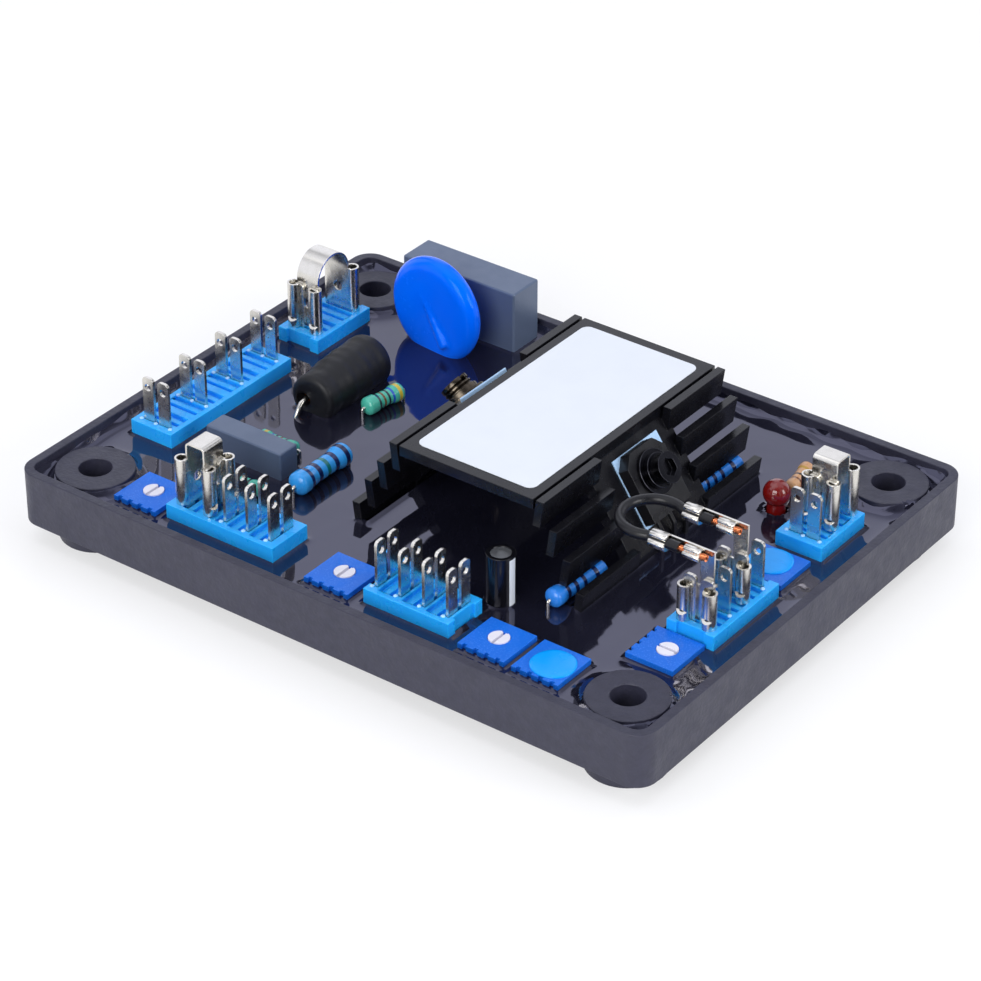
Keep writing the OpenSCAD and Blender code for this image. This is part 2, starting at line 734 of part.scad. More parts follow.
module slotted_screw() color("#b9b4a8") at_heatsink() mirror([1, 0, 0]) {
    screw_shank();
    on_leg(screw_drop, head_base) difference() {
        cylinder(h = screw_head_h, d = screw_head_d);
        translate([0, 0, screw_head_h - drive_depth])
            box(screw_head_d + 2 * over, slot_width, drive_depth + over);
    }
}

module washer(diameter, height) difference() {
    cylinder(h = height, d = diameter);
    translate([0, 0, -over]) cylinder(h = height + 2 * over, d = screw_d + 2 * screw_fit);
}

module flat_washers() color("#b9b4a8") both_sides()
    on_leg(screw_drop, screw_base) washer(washer_d, washer_h);

module spring_washers() color("#b9b4a8") both_sides() on_leg(screw_drop, washer_top) difference() {
    washer(spring_d, spring_h);
    translate([0, -spring_split / 2, -over]) cube([spring_d, spring_split, spring_h + 2 * over]);
}

// Terminal blocks: X runs along the block and Y across it
function even_position(place, i) = (i - (place[3] - 1) / 2) * tab_pitch;
function position(place, i) = even_position(place, i) + (i < 2 ? place[6] : 0);

// A notched block has a hollow between two posts at each end
module block_body(place) {
    length = block_length(place[3], place[4]);
    difference() {
        box(length, block_width, block_height);
        if (place[5]) for (side = [-1, 1]) translate([side * length / 2, 0, -over])
            box(2 * end_hollow, block_width - 2 * end_post, block_height + 2 * over);
    }
}

module tab_slot(gap) box(tab_thickness + 2 * gap, twin_width + 2 * gap, block_height + over);

// Slots go only where a block carries tabs, at the listed positions
module terminal_block(place, used) color("#1e8fff") at(place, board_top) {
    last = place[3] - 2;
    difference() {
        block_body(place);
        for (i = [0:last])
            translate([even_position(place, i) + tab_pitch / 2, 0, block_height - recess_depth])
                recess_cut();
        for (i = used) translate([position(place, i), 0, -over]) union() {
            tab_slot(slot_fit);
            translate([0, 0, over]) tab_slot(slot_fit);
        }
    }
}

// A recess between two bars, with a rib left standing along its middle
module recess_cut() difference() {
    box(tab_pitch - block_bar, block_width - 2 * block_rim, recess_depth + over);
    box(recess_rib, block_width, recess_rib_h);
}

// A twin tab: one plate that splits into two tabs above the block
module twin_outline() {
    top = block_height + tab_height;
    half = tab_width / 2;
    translate([-twin_width / 2, 0]) square([twin_width, block_height]);
    for (side = [-1, 1]) translate([side * twin_pitch / 2, 0]) difference() {
        polygon([
            [-half, 0], [half, 0], [half, top - tab_chamfer], [half - tab_chamfer, top],
            [tab_chamfer - half, top], [-half, top - tab_chamfer]
        ]);
        translate([0, top - tab_hole_drop]) circle(d = tab_hole_d, $fn = 24);
    }
}

module tabs(place, used) color("#c9c6bf") at(place, board_top)
    for (i = used) translate([position(place, i) - tab_thickness / 2, 0, 0])
        rotate([90, 0, 90]) linear_extrude(tab_thickness) twin_outline();

module terminal_block_front_left() terminal_block(front_left, [0:4]);
module terminal_block_left() terminal_block(left, [0:2:6]);
module terminal_block_rear_left() terminal_block(rear_left, [0:2:2]);
module terminal_block_front_middle() terminal_block(front_middle, [0:3]);
module terminal_block_right() terminal_block(right, [0:3]);
module terminal_block_rear_right() terminal_block(rear_right, [0:2]);
module tabs_front_left() tabs(front_left, [0:4]);
module tabs_left() tabs(left, [0:2:6]);
module tabs_rear_left() tabs(rear_left, [0:2:2]);
module tabs_front_middle() tabs(front_middle, [0:3]);
module tabs_right() tabs(right, [0:3]);
module tabs_rear_right() tabs(rear_right, [0:2]);

// A receptacle: a plate behind the twin tab, with both edges rolled round it
module receptacle(length) translate([0, 0, block_height]) {
    plate_x = tab_thickness / 2 + slot_fit;
    roll_x = plate_x + link_metal - roll_r;
    difference() {
        union() {
            translate([plate_x, -roll_pitch / 2, 0]) cube([link_metal, roll_pitch, length]);
            for (side = [-1, 1]) translate([roll_x, side * roll_pitch / 2, 0]) difference() {
                cylinder(h = length, d = roll_d);
                translate([0, 0, -over])
                    cylinder(h = length + 2 * over, d = roll_d - 2 * link_metal);
                translate([-roll_d, 0, 0]) rotate([0, atan2(roll_d, roll_slant), 0])
                    translate([-2 * roll_d, -roll_d, -length])
                        cube([2 * roll_d, 2 * roll_d, length + roll_slant]);
            }
        }
        translate([0, 0, -over])
            box(tab_thickness + 2 * slot_fit, twin_width + 2 * slot_fit, length + 2 * over);
    }
}

// Outline of a square strap in X and Z, from the legs' inner faces
module square_strap(half, rise) {
    outer = half;
    inner = half - link_metal;
    difference() {
        strap_shape(outer, rise, strap_bend + link_metal);
        translate([0, -link_metal]) strap_shape(inner, rise, strap_bend);
    }
}

module strap_shape(half, rise, bend) {
    translate([-half, 0]) square([2 * half, rise - bend]);
    translate([bend - half, 0]) square([2 * (half - bend), rise]);
    for (side = [-1, 1]) translate([side * (half - bend), rise - bend]) circle(bend);
}

module round_strap(half, rise) difference() {
    union() {
        translate([-half, 0]) square([2 * half, rise]);
        translate([0, rise]) intersection() {
            circle(half);
            translate([-half, 0]) square([2 * half, half]);
        }
    }
    translate([link_metal - half, -over]) square([2 * (half - link_metal), rise + over]);
    translate([0, rise]) circle(half - link_metal);
}

// A link that bridges the positions from and to of a block, with a window in each plate
module link(place, from, to, round_top) color("#cfc9bd") at(place, board_top) {
    start = position(place, from);
    end = position(place, to);
    middle = (start + end) / 2;
    half = (end - start) / 2 - tab_thickness / 2 - slot_fit;
    difference() {
        union() {
            translate([start, 0, 0]) receptacle(roll_length);
            translate([end, 0, 0]) mirror([1, 0, 0]) receptacle(roll_length);
            translate([middle, 0, block_height + roll_length - over])
                along_y(-strap_width / 2, strap_width / 2)
                    if (round_top) round_strap(half, round_rise + over);
                    else square_strap(half, strap_rise + over);
        }
        translate([middle - 2 * half, 0, block_height + window_height]) rotate([0, 90, 0])
            cylinder(h = 4 * half, d = window_d);
    }
}

module link_front_left() link(front_left, 0, 1, false);
module link_rear_left() link(rear_left, 0, 2, true);
module link_rear_right() link(rear_right, 1, 2, false);

// A wire terminal: a receptacle, a neck at its side and two crimps across its top
module crimp(from, to, bore) round_along_y(from, to) difference() {
    circle(d = bore + 2 * link_metal);
    circle(d = bore);
}

module wire_terminal(i) color("#cfc9bd") at(right, board_top) translate([position(right, i), 0, 0]) {
    plate_x = tab_thickness / 2 + slot_fit;
    edge = roll_pitch / 2;
    axis_z = block_height + wire_height;
    strip = wire_d / 2;
    receptacle(flag_length);
    translate([plate_x, -edge, block_height + flag_length - over])
        cube([link_metal, neck_width, wire_height - flag_length + over + strip]);
    translate([plate_x, -edge, axis_z - strip]) cube([link_metal, edge + grip_end, 2 * strip]);
    translate([wire_axis_x, 0, axis_z]) {
        crimp(core_start, core_end, strand_d);
        crimp(grip_start, grip_end, wire_d);
        core_seat(core_start, core_end);
    }
}

// Metal between the thinner conductor crimp and the strip that carries it
module core_seat(from, to) difference() {
    translate([0, from, -strand_d / 2]) cube([wire_d / 2 + link_metal / 2, to - from, strand_d]);
    translate([0, from - over, 0]) round_along_y(0, to - from + 2 * over) circle(d = strand_d);
}

module wire_terminal_front() wire_terminal(0);
module wire_terminal_rear() wire_terminal(2);

// The wire's route: a straight end, a splay, the loop and back
module at_wire() at(right, wire_z) translate([position(right, 1) + wire_axis_x, 0, 0]) children();

// Points on an arc from one angle to another
function arc(centre, radius, from, to, steps) = [
    for (k = [0:steps])
        let (turn = from + (to - from) * k / steps) centre + radius * [cos(turn), sin(turn)]
];

wire_route = concat(
    [[-loop_half, jacket_start], [-loop_half, grip_start]],
    arc([-loop_half - splay_r, grip_end], splay_r, 0, splay_angle, 3),
    arc([0, grip_end + loop_shift], loop_r, 180 + splay_angle, -splay_angle, 20),
    arc([loop_half + splay_r, grip_end], splay_r, 180 - splay_angle, 180, 3),
    [[loop_half, grip_start], [loop_half, jacket_start]]
);

// Direction of the route at a point, from its neighbours
function heading(k) =
    let (last = len(wire_route) - 1, step = wire_route[min(k + 1, last)] - wire_route[max(k - 1, 0)])
        step / norm(step);

function wire_ring(k) =
    let (spot = wire_route[k], ahead = heading(k), r = wire_d / 2)
        [for (side = [0:wire_sides - 1]) let (turn = 360 * side / wire_sides)
            [spot[0] - ahead[1] * r * cos(turn), spot[1] + ahead[0] * r * cos(turn), r * sin(turn)]];

module wire_insulation() color("#1b1b1d") at_wire() {
    rings = len(wire_route);
    walls = [for (k = [0:rings - 2], side = [0:wire_sides - 1])
        let (next = (side + 1) % wire_sides, here = k * wire_sides, there = here + wire_sides)
            [here + side, here + next, there + next, there + side]];
    caps = [
        [for (side = [wire_sides - 1:-1:0]) side],
        [for (side = [0:wire_sides - 1]) (rings - 1) * wire_sides + side]
    ];
    polyhedron([for (k = [0:rings - 1]) each wire_ring(k)], concat(walls, caps));
}

// The strands show between each crimp and the insulation
module wire_strands() color("#c8703c") at_wire() for (side = [-1, 1])
    translate([side * loop_half, 0, 0])
        round_along_y(strand_start, jacket_start) circle(d = strand_d);

// Trimmers: the notched edge is at -Y before the turn
module trimmer(i) color("#1450dc") at(trimmers[i], board_top) difference() {
    box(trimmer_side, trimmer_side, trimmer_height);
    translate([0, rotor_offset, trimmer_height - rotor_depth - rotor_float])
        cylinder(h = rotor_depth + rotor_float + over, d = rotor_d + 2 * rotor_clearance);
    for (x = notch_places)
        translate([x, -trimmer_side / 2, resin_depth])
            box(notch_width, 2 * notch_depth, trimmer_height);
}

module rotor(i, rise) color("#eceae4") at(trimmers[i], trimmer_top) translate([0, rotor_offset, 0])
    difference() {
        translate([0, 0, -rotor_depth]) cylinder(h = rotor_depth + rise, d = rotor_d);
        translate([0, 0, rise - driver_depth]) box(driver_slot, rotor_d + 2 * over, driver_depth + over);
        translate([0, rotor_d / 2, rise - driver_depth])
            box(2 * driver_slot, driver_slot, driver_depth + over);
    }

module trimmer_1() trimmer(0);
module trimmer_2() trimmer(1);
module trimmer_3() trimmer(2);
module trimmer_4() trimmer(3);
module trimmer_5() trimmer(4);
module trimmer_6() trimmer(5);
module rotor_1() rotor(0, rotor_rise);
module rotor_2() rotor(1, rotor_rise);
module rotor_3() rotor(2, rotor_rise);
module rotor_5() rotor(4, rotor_rise);
module sealed_rotors() for (i = sealed) rotor(i, 0);
module sealing_dots() color("#1aa4ff") for (k = [0, 1]) translate(seal_shifts[k])
    at(trimmers[sealed[k]], trimmer_top) cylinder(h = seal_h, d = seal_d);

// Varistor: a round-edged disc on two leads, with a ridge over each lead
module at_varistor() at(concat(varistor_place, [varistor_turn]), board_top + varistor_d / 2) children();

module varistor_disc() at_varistor() rotate([90, 0, 0]) rotate_extrude() {
    translate([0, -varistor_t / 2]) square([varistor_d / 2 - varistor_t / 2, varistor_t]);
    intersection() {
        translate([varistor_d / 2 - varistor_t / 2, 0]) circle(d = varistor_t);
        translate([0, -varistor_t]) square([varistor_d, 2 * varistor_t]);
    }
}

module varistor_leads() at_varistor() for (side = [-1, 1])
    translate([side * varistor_d / 4, -side * varistor_t / 4, -varistor_d / 2])
        cylinder(h = varistor_d / 4, d = choke_lead_d);

module varistor_ridges() at_varistor() for (side = [-1, 1])
    translate([-side * varistor_d / 10, -side * varistor_t / 2, varistor_d / 7])
        rotate([0, 180 - side * 34, 0])
            cylinder(h = varistor_d * 0.52, d1 = lead_d / 2, d2 = 2.4 * choke_lead_d);

module varistor() color("#0a5cff") {
    varistor_disc();
    varistor_leads();
    varistor_ridges();
}

module large_capacitor() color("#5b6270")
    at(large_cap_place, board_top) box(large_cap_length, large_cap_depth, large_cap_height);

module small_capacitor() color("#5b6270")
    at(small_cap_place, board_top) box(small_cap_length, small_cap_depth, small_cap_height);

// Choke: a coil on two leads inside a shrunk sleeve
module at_choke() at(choke_place, choke_z) rotate([-90, 0, 0]) children();

module sleeve_outline(bore) {
    half = sleeve_length / 2;
    wide = sleeve_d / 2;
    neck = sleeve_neck_d / 2;
    polygon([
        [bore, -half], [neck, -half], [neck, -half + sleeve_length / 4],
        [wide, -sleeve_length / 8], [wide, half - sleeve_wall], [wide - sleeve_wall, half],
        [bore, half]
    ]);
}

module choke_sleeve() color("#18181a") at_choke() rotate_extrude() sleeve_outline(coil_d / 2);

module choke_leads() for (side = [-1, 1]) at(choke_place) {
    reach = sleeve_length / 2 + choke_lead_d;
    translate([0, side * reach, board_top]) cylinder(h = choke_z - board_top, d = choke_lead_d);
    translate([0, side * reach, choke_z]) sphere(d = choke_lead_d);
    translate([0, 0, choke_z]) round_along_y(side > 0 ? 0 : -reach, side > 0 ? reach : 0)
        circle(d = choke_lead_d);
}

module choke_coil() color("#b87a45") {
    at_choke() translate([0, 0, -coil_length / 2]) cylinder(h = coil_length, d = coil_d);
    choke_leads();
}

// Axial resistors lie on the resin, and their leads run down to the board
module resistor_leads(place, length) {
    axis = resin_top + lead_d;
    for (side = [-1, 1]) at(place) translate([0, side * (length / 2 + lead_out), board_top])
        cylinder(h = axis - board_top, d = lead_d);
}

module resistor(place, length, diameter) {
    half = length / 2;
    r = diameter / 2;
    cap = diameter * 0.7;
    waist = r * 0.86;
    wire = lead_d / 2;
    straight = half + lead_out - lead_bend;
    reach = straight + lead_lap;
    axis = resin_top + r;
    at(place, axis) {
        rotate([-90, 0, 0]) rotate_extrude() polygon([
            [0, -reach], [wire, -reach], [wire, -half],
            [0.6 * r, -half], [r, 0.4 * r - half], [r, cap - half],
            [waist, cap + r - waist - half], [waist, half - cap - r + waist],
            [r, half - cap], [r, half - 0.4 * r], [0.6 * r, half],
            [wire, half], [wire, reach], [0, reach]
        ]);
        for (side = [0, 1]) mirror([0, side, 0]) translate([0, straight, -lead_bend]) {
            rotate([90, 0, 90]) rotate_extrude(angle = 90)
                translate([lead_bend, 0]) circle(d = lead_d + lead_swell);
            translate([0, lead_bend, board_top + lead_bend - axis])
                cylinder(h = axis - lead_bend - board_top + lead_lap, d = lead_d);
        }
    }
}

module power_resistor() color("#2f93dc") resistor(power_place, power_length, power_d);
module green_resistor() color("#3fa88c") resistor(middle_place, middle_length, middle_d);
module small_green_resistors() color("#3fa88c")
    for (place = small_green_places) resistor(place, small_length, small_d);
module fin_resistors() color("#2470d0") for (place = fin_places) resistor(place, fin_length, fin_d);
module front_resistor() color("#2f93dc") resistor(front_place, small_length, small_d);
module beige_resistor() color("#b98a62") resistor(beige_place, small_length, small_d);

// Electrolytic capacitor: a can in a printed sleeve that folds over its top
module electrolytic_can() color("#b8bcc0") at(can_place, board_top)
    cylinder(h = can_height - can_sleeve, d = can_d - 2 * can_sleeve);

module electrolytic_sleeve() color("#101216") at(can_place, board_top) difference() {
    cylinder(h = can_height, d = can_d);
    translate([0, 0, -over]) cylinder(h = can_height - can_sleeve + over, d = can_d - 2 * can_sleeve);
    cylinder(h = can_height + over, d = can_d * 0.7);
}

module indicator_lamp() color("#7a1410") at(led_place, board_top) {
    lens = led_height - led_d / 2;
    cylinder(h = led_flange_h, d = led_d + 2 * led_flange);
    cylinder(h = lens, d = led_d);
    translate([0, 0, lens]) sphere(d = led_d);
}

tray();
circuit_board();
potting_resin();
heatsink();
label();
terminal_block_front_left();
terminal_block_left();
terminal_block_rear_left();
terminal_block_front_middle();
terminal_block_right();
terminal_block_rear_right();
tabs_front_left();
tabs_left();
tabs_rear_left();
tabs_front_middle();
tabs_right();
tabs_rear_right();
link_front_left();
link_rear_left();
link_rear_right();
wire_terminal_front();
wire_terminal_rear();
wire_insulation();
wire_strands();
trimmer_1();
trimmer_2();
trimmer_3();
trimmer_4();
trimmer_5();
trimmer_6();
rotor_1();
rotor_2();
rotor_3();
rotor_5();
sealed_rotors();
sealing_dots();
varistor();
large_capacitor();
small_capacitor();
choke_sleeve();
choke_coil();
power_resistor();
green_resistor();
small_green_resistors();
fin_resistors();
front_resistor();
beige_resistor();
electrolytic_can();
electrolytic_sleeve();
indicator_lamp();
power_device_right();
power_device_left();
insulating_sheets();
socket_screw();
slotted_screw();
flat_washers();
spring_washers();
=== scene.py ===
"""Looks of a potted automatic voltage regulator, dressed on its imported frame, in metres."""
import logging
import math
from dataclasses import dataclass, field
from enum import Enum
from functools import cache
from typing import Any, Optional, Sequence

import bmesh
import bpy
import numpy as np
from mathutils import Matrix, Vector


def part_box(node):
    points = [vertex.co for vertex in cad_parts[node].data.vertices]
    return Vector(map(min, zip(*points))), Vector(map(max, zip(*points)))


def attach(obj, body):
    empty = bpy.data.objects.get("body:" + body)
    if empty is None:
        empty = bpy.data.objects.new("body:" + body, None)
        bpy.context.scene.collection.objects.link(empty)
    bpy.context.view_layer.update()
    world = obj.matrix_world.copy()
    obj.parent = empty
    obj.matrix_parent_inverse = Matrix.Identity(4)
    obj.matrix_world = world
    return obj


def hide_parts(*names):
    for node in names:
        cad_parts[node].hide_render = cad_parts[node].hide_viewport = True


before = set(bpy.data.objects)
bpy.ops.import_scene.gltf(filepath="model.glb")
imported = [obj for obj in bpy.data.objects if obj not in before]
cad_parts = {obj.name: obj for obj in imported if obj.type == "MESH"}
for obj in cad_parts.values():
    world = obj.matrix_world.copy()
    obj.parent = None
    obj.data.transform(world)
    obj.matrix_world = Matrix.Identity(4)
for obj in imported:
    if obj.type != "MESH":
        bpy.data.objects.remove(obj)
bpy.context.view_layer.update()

MM = 0.001
ROOT = "regulator"
LOG = logging.getLogger("regulator")


def linear(code: str) -> tuple[float, float, float, float]:
    """Turns an sRGB hex colour into linear light.

    Args:
        code: Colour such as "#1e90ff".

    Returns:
        Linear red, green, blue and full opacity.
    """
    parts = [int(code[i:i + 2], 16) / 255 for i in (1, 3, 5)]
    return tuple(p / 12.92 if p <= 0.04045 else ((p + 0.055) / 1.055) ** 2.4 for p in parts) + (1.0,)


def add(tree: bpy.types.NodeTree, kind: str, values: Optional[dict] = None, **settings: Any) -> bpy.types.Node:
    """Adds a node with its settings, socket values and links.

    Args:
        tree: Tree that gets the node.
        kind: Node type.
        values: Input socket name or number, to a value or to the output that it is linked from.
        **settings: Properties of the node.

    Returns:
        The new node.
    """
    made = tree.nodes.new(kind)
    for key, value in settings.items():
        setattr(made, key, value)
    for key, value in (values or {}).items():
        if isinstance(value, bpy.types.NodeSocket):
            tree.links.new(value, made.inputs[key])
        else:
            made.inputs[key].default_value = value
    return made


@dataclass(frozen=True)
class Finish:
    """How one real material meets the eye.

    Each pattern is a noise on Object coordinates, with its size in millimetres.
    """

    name: str
    colour: str
    shade: str
    roughness: float
    slot: str
    metallic: float = 0.0
    ior: float = 1.5
    coat: float = 0.0
    shade_mm: float = 8.0
    rough_vary: float = 0.08
    rough_mm: float = 3.0
    grain_mm: float = 0.4
    grain_depth_mm: float = 0.01
    scatter_mm: float = 0.0
    gleam: str = "#ffffff"
    coat_roughness: float = 0.04
    scatter_weight: float = 0.4
    scatter_spread: tuple[float, float, float] = (0.3, 0.8, 1.0)

    @cache
    def material(self) -> bpy.types.Material:
        """Makes the material of this finish at its first use, and gives the same one afterwards.

        Returns:
            The material, apart from any packed one of the same name.
        """
        made = bpy.data.materials.new(self.name)
        made.use_nodes = True
        made.node_tree.nodes.clear()
        self.dress(made.node_tree)
        return made

    def dress(self, tree: bpy.types.NodeTree) -> bpy.types.Node:
        """Builds the nodes of the material.

        Args:
            tree: Empty tree of the material.

        Returns:
            The Principled shader node.
        """
        place = add(tree, "ShaderNodeTexCoord").outputs["Object"]
        shader = add(tree, "ShaderNodeBsdfPrincipled", {
            "Base Color": self.tint(tree, place), "Metallic": self.metallic,
            "Roughness": self.polish(tree, place), "Coat Weight": self.coat, "Coat Roughness": self.coat_roughness,
        })
        if not self.metallic:
            shader.inputs["IOR"].default_value = self.ior
            shader.inputs["Specular Tint"].default_value = linear(self.gleam)
        if self.scatter_mm:
            shader.inputs["Subsurface Weight"].default_value = self.scatter_weight
            shader.inputs["Subsurface Radius"].default_value = self.scatter_spread
            shader.inputs["Subsurface Scale"].default_value = self.scatter_mm * MM
        tree.links.new(self.relief(tree, place), shader.inputs["Normal"])
        add(tree, "ShaderNodeOutputMaterial", {"Surface": shader.outputs["BSDF"]})
        return shader

    def tint(self, tree: bpy.types.NodeTree, place: bpy.types.NodeSocket) -> bpy.types.NodeSocket:
        """Mottles the two colours of the finish.

        Args:
            tree: Tree of the material.
            place: Object coordinates.

        Returns:
            The colour output.
        """
        cloud = add(tree, "ShaderNodeTexNoise", {"Vector": place, "Scale": 1 / (self.shade_mm * MM), "Detail": 4.0})
        mixed = add(tree, "ShaderNodeMix", {
            0: cloud.outputs["Fac"], 6: linear(self.colour), 7: linear(self.shade),
        }, data_type="RGBA")
        return mixed.outputs[2]

    def polish(self, tree: bpy.types.NodeTree, place: bpy.types.NodeSocket) -> bpy.types.NodeSocket:
        """Varies the roughness a little, as handling and moulding do.

        Args:
            tree: Tree of the material.
            place: Object coordinates.

        Returns:
            The roughness output.
        """
        cloud = add(tree, "ShaderNodeTexNoise", {"Vector": place, "Scale": 1 / (self.rough_mm * MM), "Detail": 3.0})
        spread = add(tree, "ShaderNodeMapRange", {
            "Value": cloud.outputs["Fac"], "From Min": 0.3, "From Max": 0.7,
            "To Min": max(0.02, self.roughness - self.rough_vary), "To Max": self.roughness + self.rough_vary,
        })
        return spread.outputs["Result"]

    def relief(self, tree: bpy.types.NodeTree, place: bpy.types.NodeSocket) -> bpy.types.NodeSocket:
        """Gives the surface its fine grain.

        Args:
            tree: Tree of the material.
            place: Object coordinates.

        Returns:
            The normal output.
        """
        grit = add(tree, "ShaderNodeTexNoise", {"Vector": place, "Scale": 1 / (self.grain_mm * MM), "Detail": 2.0})
        bump = add(tree, "ShaderNodeBump", {
            "Height": grit.outputs["Fac"], "Strength": 1.0, "Distance": self.grain_depth_mm * MM,
        })
        return bump.outputs["Normal"]


@dataclass(frozen=True)
class SpeckledFinish(Finish):
    """A filled moulding compound, with pale specks in its colour."""

    speck: str = "#5590ee"
    speck_mm: float = 0.32
    speck_share: float = 0.36
    speck_edge: float = 0.2
    speck_weight: float = 0.55

    def tint(self, tree: bpy.types.NodeTree, place: bpy.types.NodeSocket) -> bpy.types.NodeSocket:
        """Adds the specks to the mottled colour.

        Args:
            tree: Tree of the material.
            place: Object coordinates.

        Returns:
            The colour output.
        """
        base = super().tint(tree, place)
        dots = add(tree, "ShaderNodeTexVoronoi", {"Vector": place, "Scale": 1 / (self.speck_mm * MM)})
        mask = add(tree, "ShaderNodeMapRange", {
            "Value": dots.outputs["Distance"], "From Min": self.speck_share,
            "From Max": self.speck_share - self.speck_edge, "To Min": 0.0, "To Max": self.speck_weight,
        })
        mixed = add(tree, "ShaderNodeMix", {
            0: mask.outputs["Result"], 6: base, 7: linear(self.speck),
        }, data_type="RGBA")
        return mixed.outputs[2]


@dataclass(frozen=True)
class BandedFinish(Finish):
    """Lacquer with painted bands, read from the piece's own attribute along its axis."""

    bands: tuple[tuple[float, float, str], ...] = ()
    blur: float = 0.004

    def tint(self, tree: bpy.types.NodeTree, place: bpy.types.NodeSocket) -> bpy.types.NodeSocket:
        """Paints the bands over the lacquer.

        Args:
            tree: Tree of the material.
            place: Object coordinates.

        Returns:
            The colour output.
        """
        colour = super().tint(tree, place)
        along = add(tree, "ShaderNodeAttribute", attribute_name="along").outputs["Fac"]
        for start, end, paint in self.bands:
            half = (end - start) / 2
            off = add(tree, "ShaderNodeMath", {0: along, 1: (start + end) / 2}, operation="SUBTRACT")
            size = add(tree, "ShaderNodeMath", {0: off.outputs[0]}, operation="ABSOLUTE")
            inside = add(tree, "ShaderNodeMapRange", {
                "Value": size.outputs[0], "From Min": half + self.blur, "From Max": half - self.blur,
            })
            colour = add(tree, "ShaderNodeMix", {
                0: inside.outputs["Result"], 6: colour, 7: linear(paint),
            }, data_type="RGBA").outputs[2]
        return colour


@dataclass(frozen=True)
class BackdropFinish(Finish):
    """Lit paper: white where it is looked at, or mirrored, with part of the shadows kept."""

    glow: float = 0.55

    def dress(self, tree: bpy.types.NodeTree) -> bpy.types.Node:
        """Mixes a white glow into the paper for the rays that show it.

        Args:
            tree: Empty tree of the material.

        Returns:
            The Principled shader node.
        """
        shader = super().dress(tree)
        rays = add(tree, "ShaderNodeLightPath").outputs
        plain = add(tree, "ShaderNodeMath", {0: rays["Is Camera Ray"], 1: rays["Is Glossy Ray"]}, operation="ADD")
        shown = add(tree, "ShaderNodeMath", {0: plain.outputs[0], 1: rays["Is Transmission Ray"]}, operation="ADD",
                    use_clamp=True)
        share = add(tree, "ShaderNodeMath", {0: shown.outputs[0], 1: self.glow}, operation="MULTIPLY")
        white = add(tree, "ShaderNodeEmission", {"Strength": 1.0})
        mixed = add(tree, "ShaderNodeMixShader", {
            0: share.outputs[0], 1: shader.outputs["BSDF"], 2: white.outputs["Emission"],
        })
        end = next(n for n in tree.nodes if n.bl_idname == "ShaderNodeOutputMaterial")
        tree.links.new(mixed.outputs["Shader"], end.inputs["Surface"])
        return shader


# Lit seamless paper: a white that fades only where the object stands on it
PAPER = BackdropFinish("white_paper", "#fdfdfd", "#fbfbfb", 0.8, "label_film", grain_mm=2, grain_depth_mm=0.01)
# Glass-filled moulding, spark-eroded tool: a matte grey-black with a fine even grain
TRAY = Finish("glass_filled_nylon", "#353547", "#272735", 0.48, "tray_plastic", shade_mm=1.4, grain_mm=0.7,
              grain_depth_mm=0.09)
# Glass-epoxy laminate under green mask
BOARD = Finish("glass_epoxy_laminate", "#1f5a3a", "#1a4c31", 0.45, "board_laminate")
# Cast epoxy: black and as smooth as water, with a slow swell left from the pour; its IOR is set above the usual
# 1.55 to match the strong reflections of the real pour
RESIN = Finish("cast_epoxy", "#1b1b28", "#151520", 0.05, "potting_resin", ior=1.85, gleam="#dcdcff", rough_vary=0.02,
               rough_mm=20, grain_mm=12, grain_depth_mm=0.14)
# Extruded aluminium, black anodised: satin, with faint draw lines
ANODISED = Finish("black_anodised_aluminium", "#141419", "#0b0b0f", 0.24, "black_anodised", ior=1.4, grain_mm=0.5,
                  grain_depth_mm=0.008)
# Printed polyester film, left bare: white and faintly silky
LABEL = Finish("polyester_label", "#dfe4ea", "#d8dde3", 0.42, "label_film", grain_mm=0.6, grain_depth_mm=0.004)
# Moulded polyester: a clear bright blue with a soft gloss
BLOCK = Finish("moulded_polyester", "#26adff", "#1ca4ff", 0.3, "block_plastic", grain_mm=0.5, grain_depth_mm=0.008,
               scatter_mm=1.5)
# Small glossy beads at the tabs' feet: real bumps whose pale blue colour is a painted highlight over the blue plastic
GLINT_BEAD = Finish("glossy_bead_painted_highlight", "#8fcbff", "#a9d8ff", 0.05, "block_plastic", coat=1.0, grain_mm=1.0,
                 grain_depth_mm=0.002)
# Tin plate over brass: bright, faintly clouded metal
TIN = Finish("tin_plated_brass", "#e8e5de", "#d3cfc6", 0.25, "tinned_brass", metallic=1.0, rough_vary=0.06,
             rough_mm=1.6, shade_mm=2.0, grain_mm=0.6, grain_depth_mm=0.0018)
# Bare copper strands, a little dulled
COPPER = Finish("bare_copper", "#e08a5c", "#c96f45", 0.26, "copper_strands", metallic=1.0, shade_mm=0.8)
# Soft vinyl insulation: black, satin, with the marks of handling
VINYL = Finish("vinyl_insulation", "#0b0b0f", "#121217", 0.32, "wire_insulation", ior=1.42, grain_mm=0.5,
               grain_depth_mm=0.02, shade_mm=3)
# Filled moulding compound of a trimmer: royal blue with pale specks
TRIMMER = SpeckledFinish("filled_moulding_compound", "#0c6ee0", "#0962cc", 0.36, "trimmer_plastic", ior=1.38,
                         grain_mm=0.35, grain_depth_mm=0.012)
# Nylon of a rotor: off-white, satin
ROTOR = Finish("white_nylon", "#e9e7f0", "#dedce6", 0.4, "rotor_plastic", shade_mm=1.5)
# Sealing lacquer: bright azure, brushed on, level and glossy
LACQUER = Finish("azure_lacquer", "#00a0fa", "#0098f2", 0.22, "sealing_lacquer", ior=1.38, grain_mm=1.5,
                 grain_depth_mm=0.02)
# Dipped epoxy of a varistor: strong blue, glossy, with a slight orange peel
DIPPED = Finish("dipped_epoxy", "#006cff", "#0062fc", 0.2, "varistor_epoxy", ior=1.4, coat=0.1, gleam="#3a9bff",
                grain_mm=1.2, grain_depth_mm=0.02)
